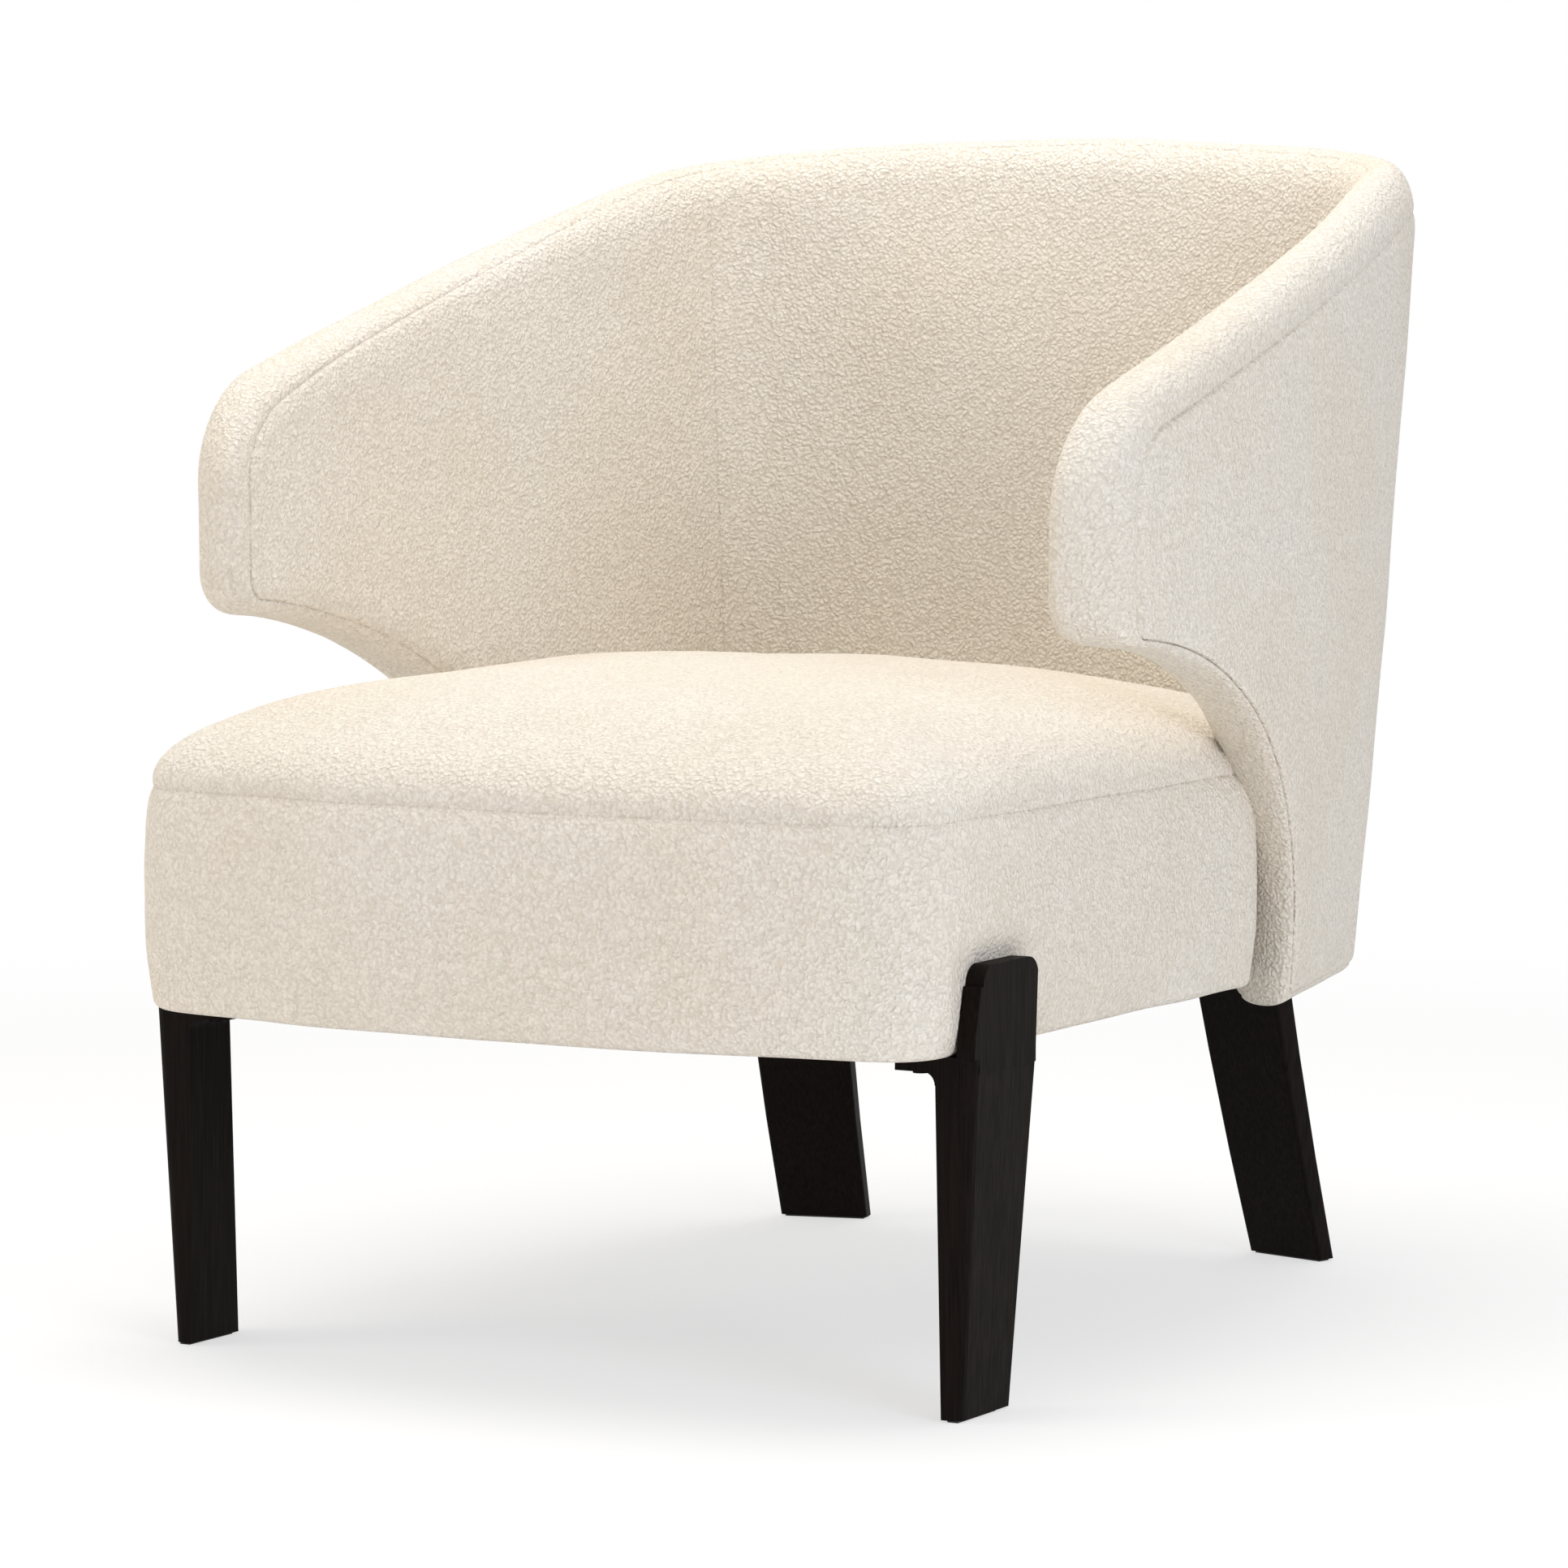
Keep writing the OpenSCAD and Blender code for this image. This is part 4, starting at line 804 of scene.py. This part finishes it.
def makeSeatTop():
    # crowned top: rings that shrink towards the middle, spaced evenly along the crown's curve
    b = topFill
    k = np.linspace(1, 0, 2000)
    z = seat["crown"] * np.sqrt(np.maximum(0, 1 - k ** 4))
    run = np.concatenate([[0], np.cumsum(np.hypot(np.diff(k) * 0.33, np.diff(z)))])
    u = np.linspace(0, 1, b["rings"] + 1)
    want = run[-1] * (0.45 * u + 0.55 * u ** 1.8)
    ks = np.interp(want, run, k)[:-1]
    outline = seatOutline(seat["seam"], 0.0, 0.0, 1.0)
    inward = (seatOutline(seat["seam"], 0.001, 0.0, 1.0) - outline) * 1000   # for an inset of one metre
    lap, turnIn = seatSeam["lap"], seatSeam["turnIn"]
    turned = outline + inward * (seatSeam["depth"] + turnIn)
    points = [np.column_stack([turned, np.full(len(turned), seat["seam"] + lap)])]
    for i, share in enumerate(ks):
        base = outline * [share, share] + [0, seat["centre"] * (1 - share)]
        rel = (outline[:, 1] - seat["centre"]) / 0.3
        frontward, sideward, backward = (np.clip(v, 0, 1) for v in (-rel, 1 - np.abs(rel), rel))
        power = seat["powerFront"] * frontward + seat["powerSide"] * sideward + seat["powerBack"] * backward
        height = seat["seam"] + seat["crown"] * np.maximum(0, 1 - share ** power) ** seat["shoulder"]
        back = np.clip((base[:, 1] - seat["dropFrom"]) / seat["dropRun"], 0, 1)
        side = np.clip(np.abs(base[:, 0]) / seat["dropRun"], 0, 1)
        height = height - seat["backDrop"] * back * side * min(1, (1 - share) / seat["dropEdge"])
        sunk = seatSeam["depth"] * math.exp(-want[i] / seatSeam["width"])
        base = base + inward * sunk
        points.append(np.column_stack([base, height - (lap if i == 0 else 0)]))
    points = np.stack(points, 1)
    cols, n = points.shape[:2]
    index = np.arange(cols * n).reshape(cols, n)
    middle = cols * n
    flat = np.vstack([points.reshape(-1, 3), [[0, seat["centre"], seat["seam"] + seat["crown"]]]])
    faces = gridFaces(cols, n, loop=True) + closeMiddle(index[:, -1], middle)
    pinned = set(index[:, :2].ravel())
    obj = makeMesh("seatTop", flat, faces, boucle)
    fillWithAir(obj, pinned, b["pressure"], b["cap"])
    unevenPadding(obj)
    finishSoft(obj, b["depth"])
    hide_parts("seat_cover_top", "seat_foam")


makeSeatBorder()
makeSeatTop()
print("seat made")

dustSheet = {"clear": 0.0008, "inset": 0.018, "sag": 0.00075, "thick": 0.0006}


def makeDustSheet():
    # the black cloth stapled under the frame, which hangs a little in the middle
    d = dustSheet
    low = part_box("dust_cloth")[0][2]
    outline = seatOutline(seat["bottom"], d["inset"], 0.0)
    rings = []
    for k in np.linspace(1, 0.04, 18):
        ring = outline * k + [0, seat["centre"] * (1 - k)]
        drop = d["sag"] * (1 - k * k)
        rings.append(np.column_stack([ring, np.full(len(ring), low + d["clear"] - drop)]))
    points = np.stack(rings, 1)
    cols, n = points.shape[:2]
    index = np.arange(cols * n).reshape(cols, n)
    flat = np.vstack([points.reshape(-1, 3), [[0, seat["centre"], low + d["clear"] - d["sag"]]]])
    faces = gridFaces(cols, n, loop=True) + closeMiddle(index[:, -1], cols * n)
    faces = [f[::-1] for f in faces]
    obj = makeMesh("dustSheet", flat, faces, dustCloth)
    body = obj.modifiers.new("thickness", "SOLIDIFY")
    body.thickness = d["thick"]
    body.offset = -1
    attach(obj, bodyName)
    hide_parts("dust_cloth")


makeDustSheet()
print("dust sheet made")

studio = {
    "floor": "#FFFFFF", "worldLight": 0.47,
    "glow": 0.62,           # share of plain white near the object, where the shadow shows
    "fade": (0.9, 2.4),     # metres from the middle over which the floor turns plain white
}


def seenDirectly(tree):
    # 1 for rays from the camera and for what shines or is seen through, else 0
    light = addNode(tree, "ShaderNodeLightPath")
    seen = addNode(tree, "ShaderNodeMath", [(0, light, "Is Camera Ray"), (1, light, "Is Glossy Ray")],
                   operation="MAXIMUM")
    return addNode(tree, "ShaderNodeMath", [(0, seen, "Value"), (1, light, "Is Transmission Ray")],
                   operation="MAXIMUM")


def makeStudio(s):
    bpy.ops.mesh.primitive_plane_add(size=40, location=(0, 0, 0))
    floor = bpy.context.object
    floor.name = "studioFloor"
    # seamless paper: matt, it keeps only the object's shadow
    material, tree = newMaterial("whitePaperFloor")
    paper = addNode(tree, "ShaderNodeBsdfDiffuse", Color=toLinear(s["floor"]))
    glow = addNode(tree, "ShaderNodeEmission", Color=toLinear(s["floor"]), Strength=1.0)
    place = addNode(tree, "ShaderNodeTexCoord")
    far = addNode(tree, "ShaderNodeVectorMath", [(0, place, "Object")], operation="LENGTH")
    share = addNode(tree, "ShaderNodeMapRange", [("Value", far, "Value")], interpolation_type="SMOOTHSTEP",
                    From_Min=s["fade"][0], From_Max=s["fade"][1], To_Min=s["glow"], To_Max=1.0)
    shown = addNode(tree, "ShaderNodeMath", [(0, seenDirectly(tree), "Value"), (1, share, "Result")],
                    operation="MULTIPLY")
    mixed = addNode(tree, "ShaderNodeMixShader",
                    [(0, shown, "Value"), (1, paper, "BSDF"), (2, glow, "Emission")])
    addNode(tree, "ShaderNodeOutputMaterial", [("Surface", mixed, "Shader")])
    floor.data.materials.append(material)
    world = bpy.data.worlds.new("studioWorld")
    scene.world = world
    world.use_nodes = True
    tree = world.node_tree
    tree.nodes.clear()
    dim = addNode(tree, "ShaderNodeBackground", Color=(1, 1, 1, 1), Strength=s["worldLight"])
    white = addNode(tree, "ShaderNodeBackground", Color=(1, 1, 1, 1), Strength=1.0)
    mixed = addNode(tree, "ShaderNodeMixShader",
                    [(0, seenDirectly(tree), "Value"), (1, dim, "Background"), (2, white, "Background")])
    addNode(tree, "ShaderNodeOutputWorld", [("Surface", mixed, "Shader")])


lamps = {
    "overhead": {"place": (-0.1, 0.0, 2.6), "aim": (0, -0.1, 0.4), "size": (1.8, 1.6),
                 "power": 46, "colour": "#FFFCF8"},
    "frontLeft": {"place": (-2.9, -2.3, 1.5), "aim": (0, 0, 0.4), "size": (1.8, 1.4),
                  "power": 36, "colour": "#FFF1E1"},
    "frontRight": {"place": (3.4, -1.9, 1.3), "aim": (0, 0, 0.45), "size": (1.6, 1.6),
                   "power": 57, "colour": "#EAF0FF"},
}


def makeLamp(name, l):
    data = bpy.data.lights.new(name, "AREA")
    data.shape = "RECTANGLE"
    data.size, data.size_y = l["size"]
    data.energy = l["power"]
    data.color = toLinear(l["colour"])[:3]
    lamp = bpy.data.objects.new(name, data)
    lamp.location = l["place"]
    lamp.rotation_euler = (Vector(l["aim"]) - Vector(l["place"])).to_track_quat("-Z", "Y").to_euler()
    scene.collection.objects.link(lamp)


makeStudio(studio)
for lampName, lampLook in lamps.items():
    makeLamp(lampName, lampLook)
scene.view_settings.view_transform = "Standard"
print("studio made")

bpy.context.view_layer.update()
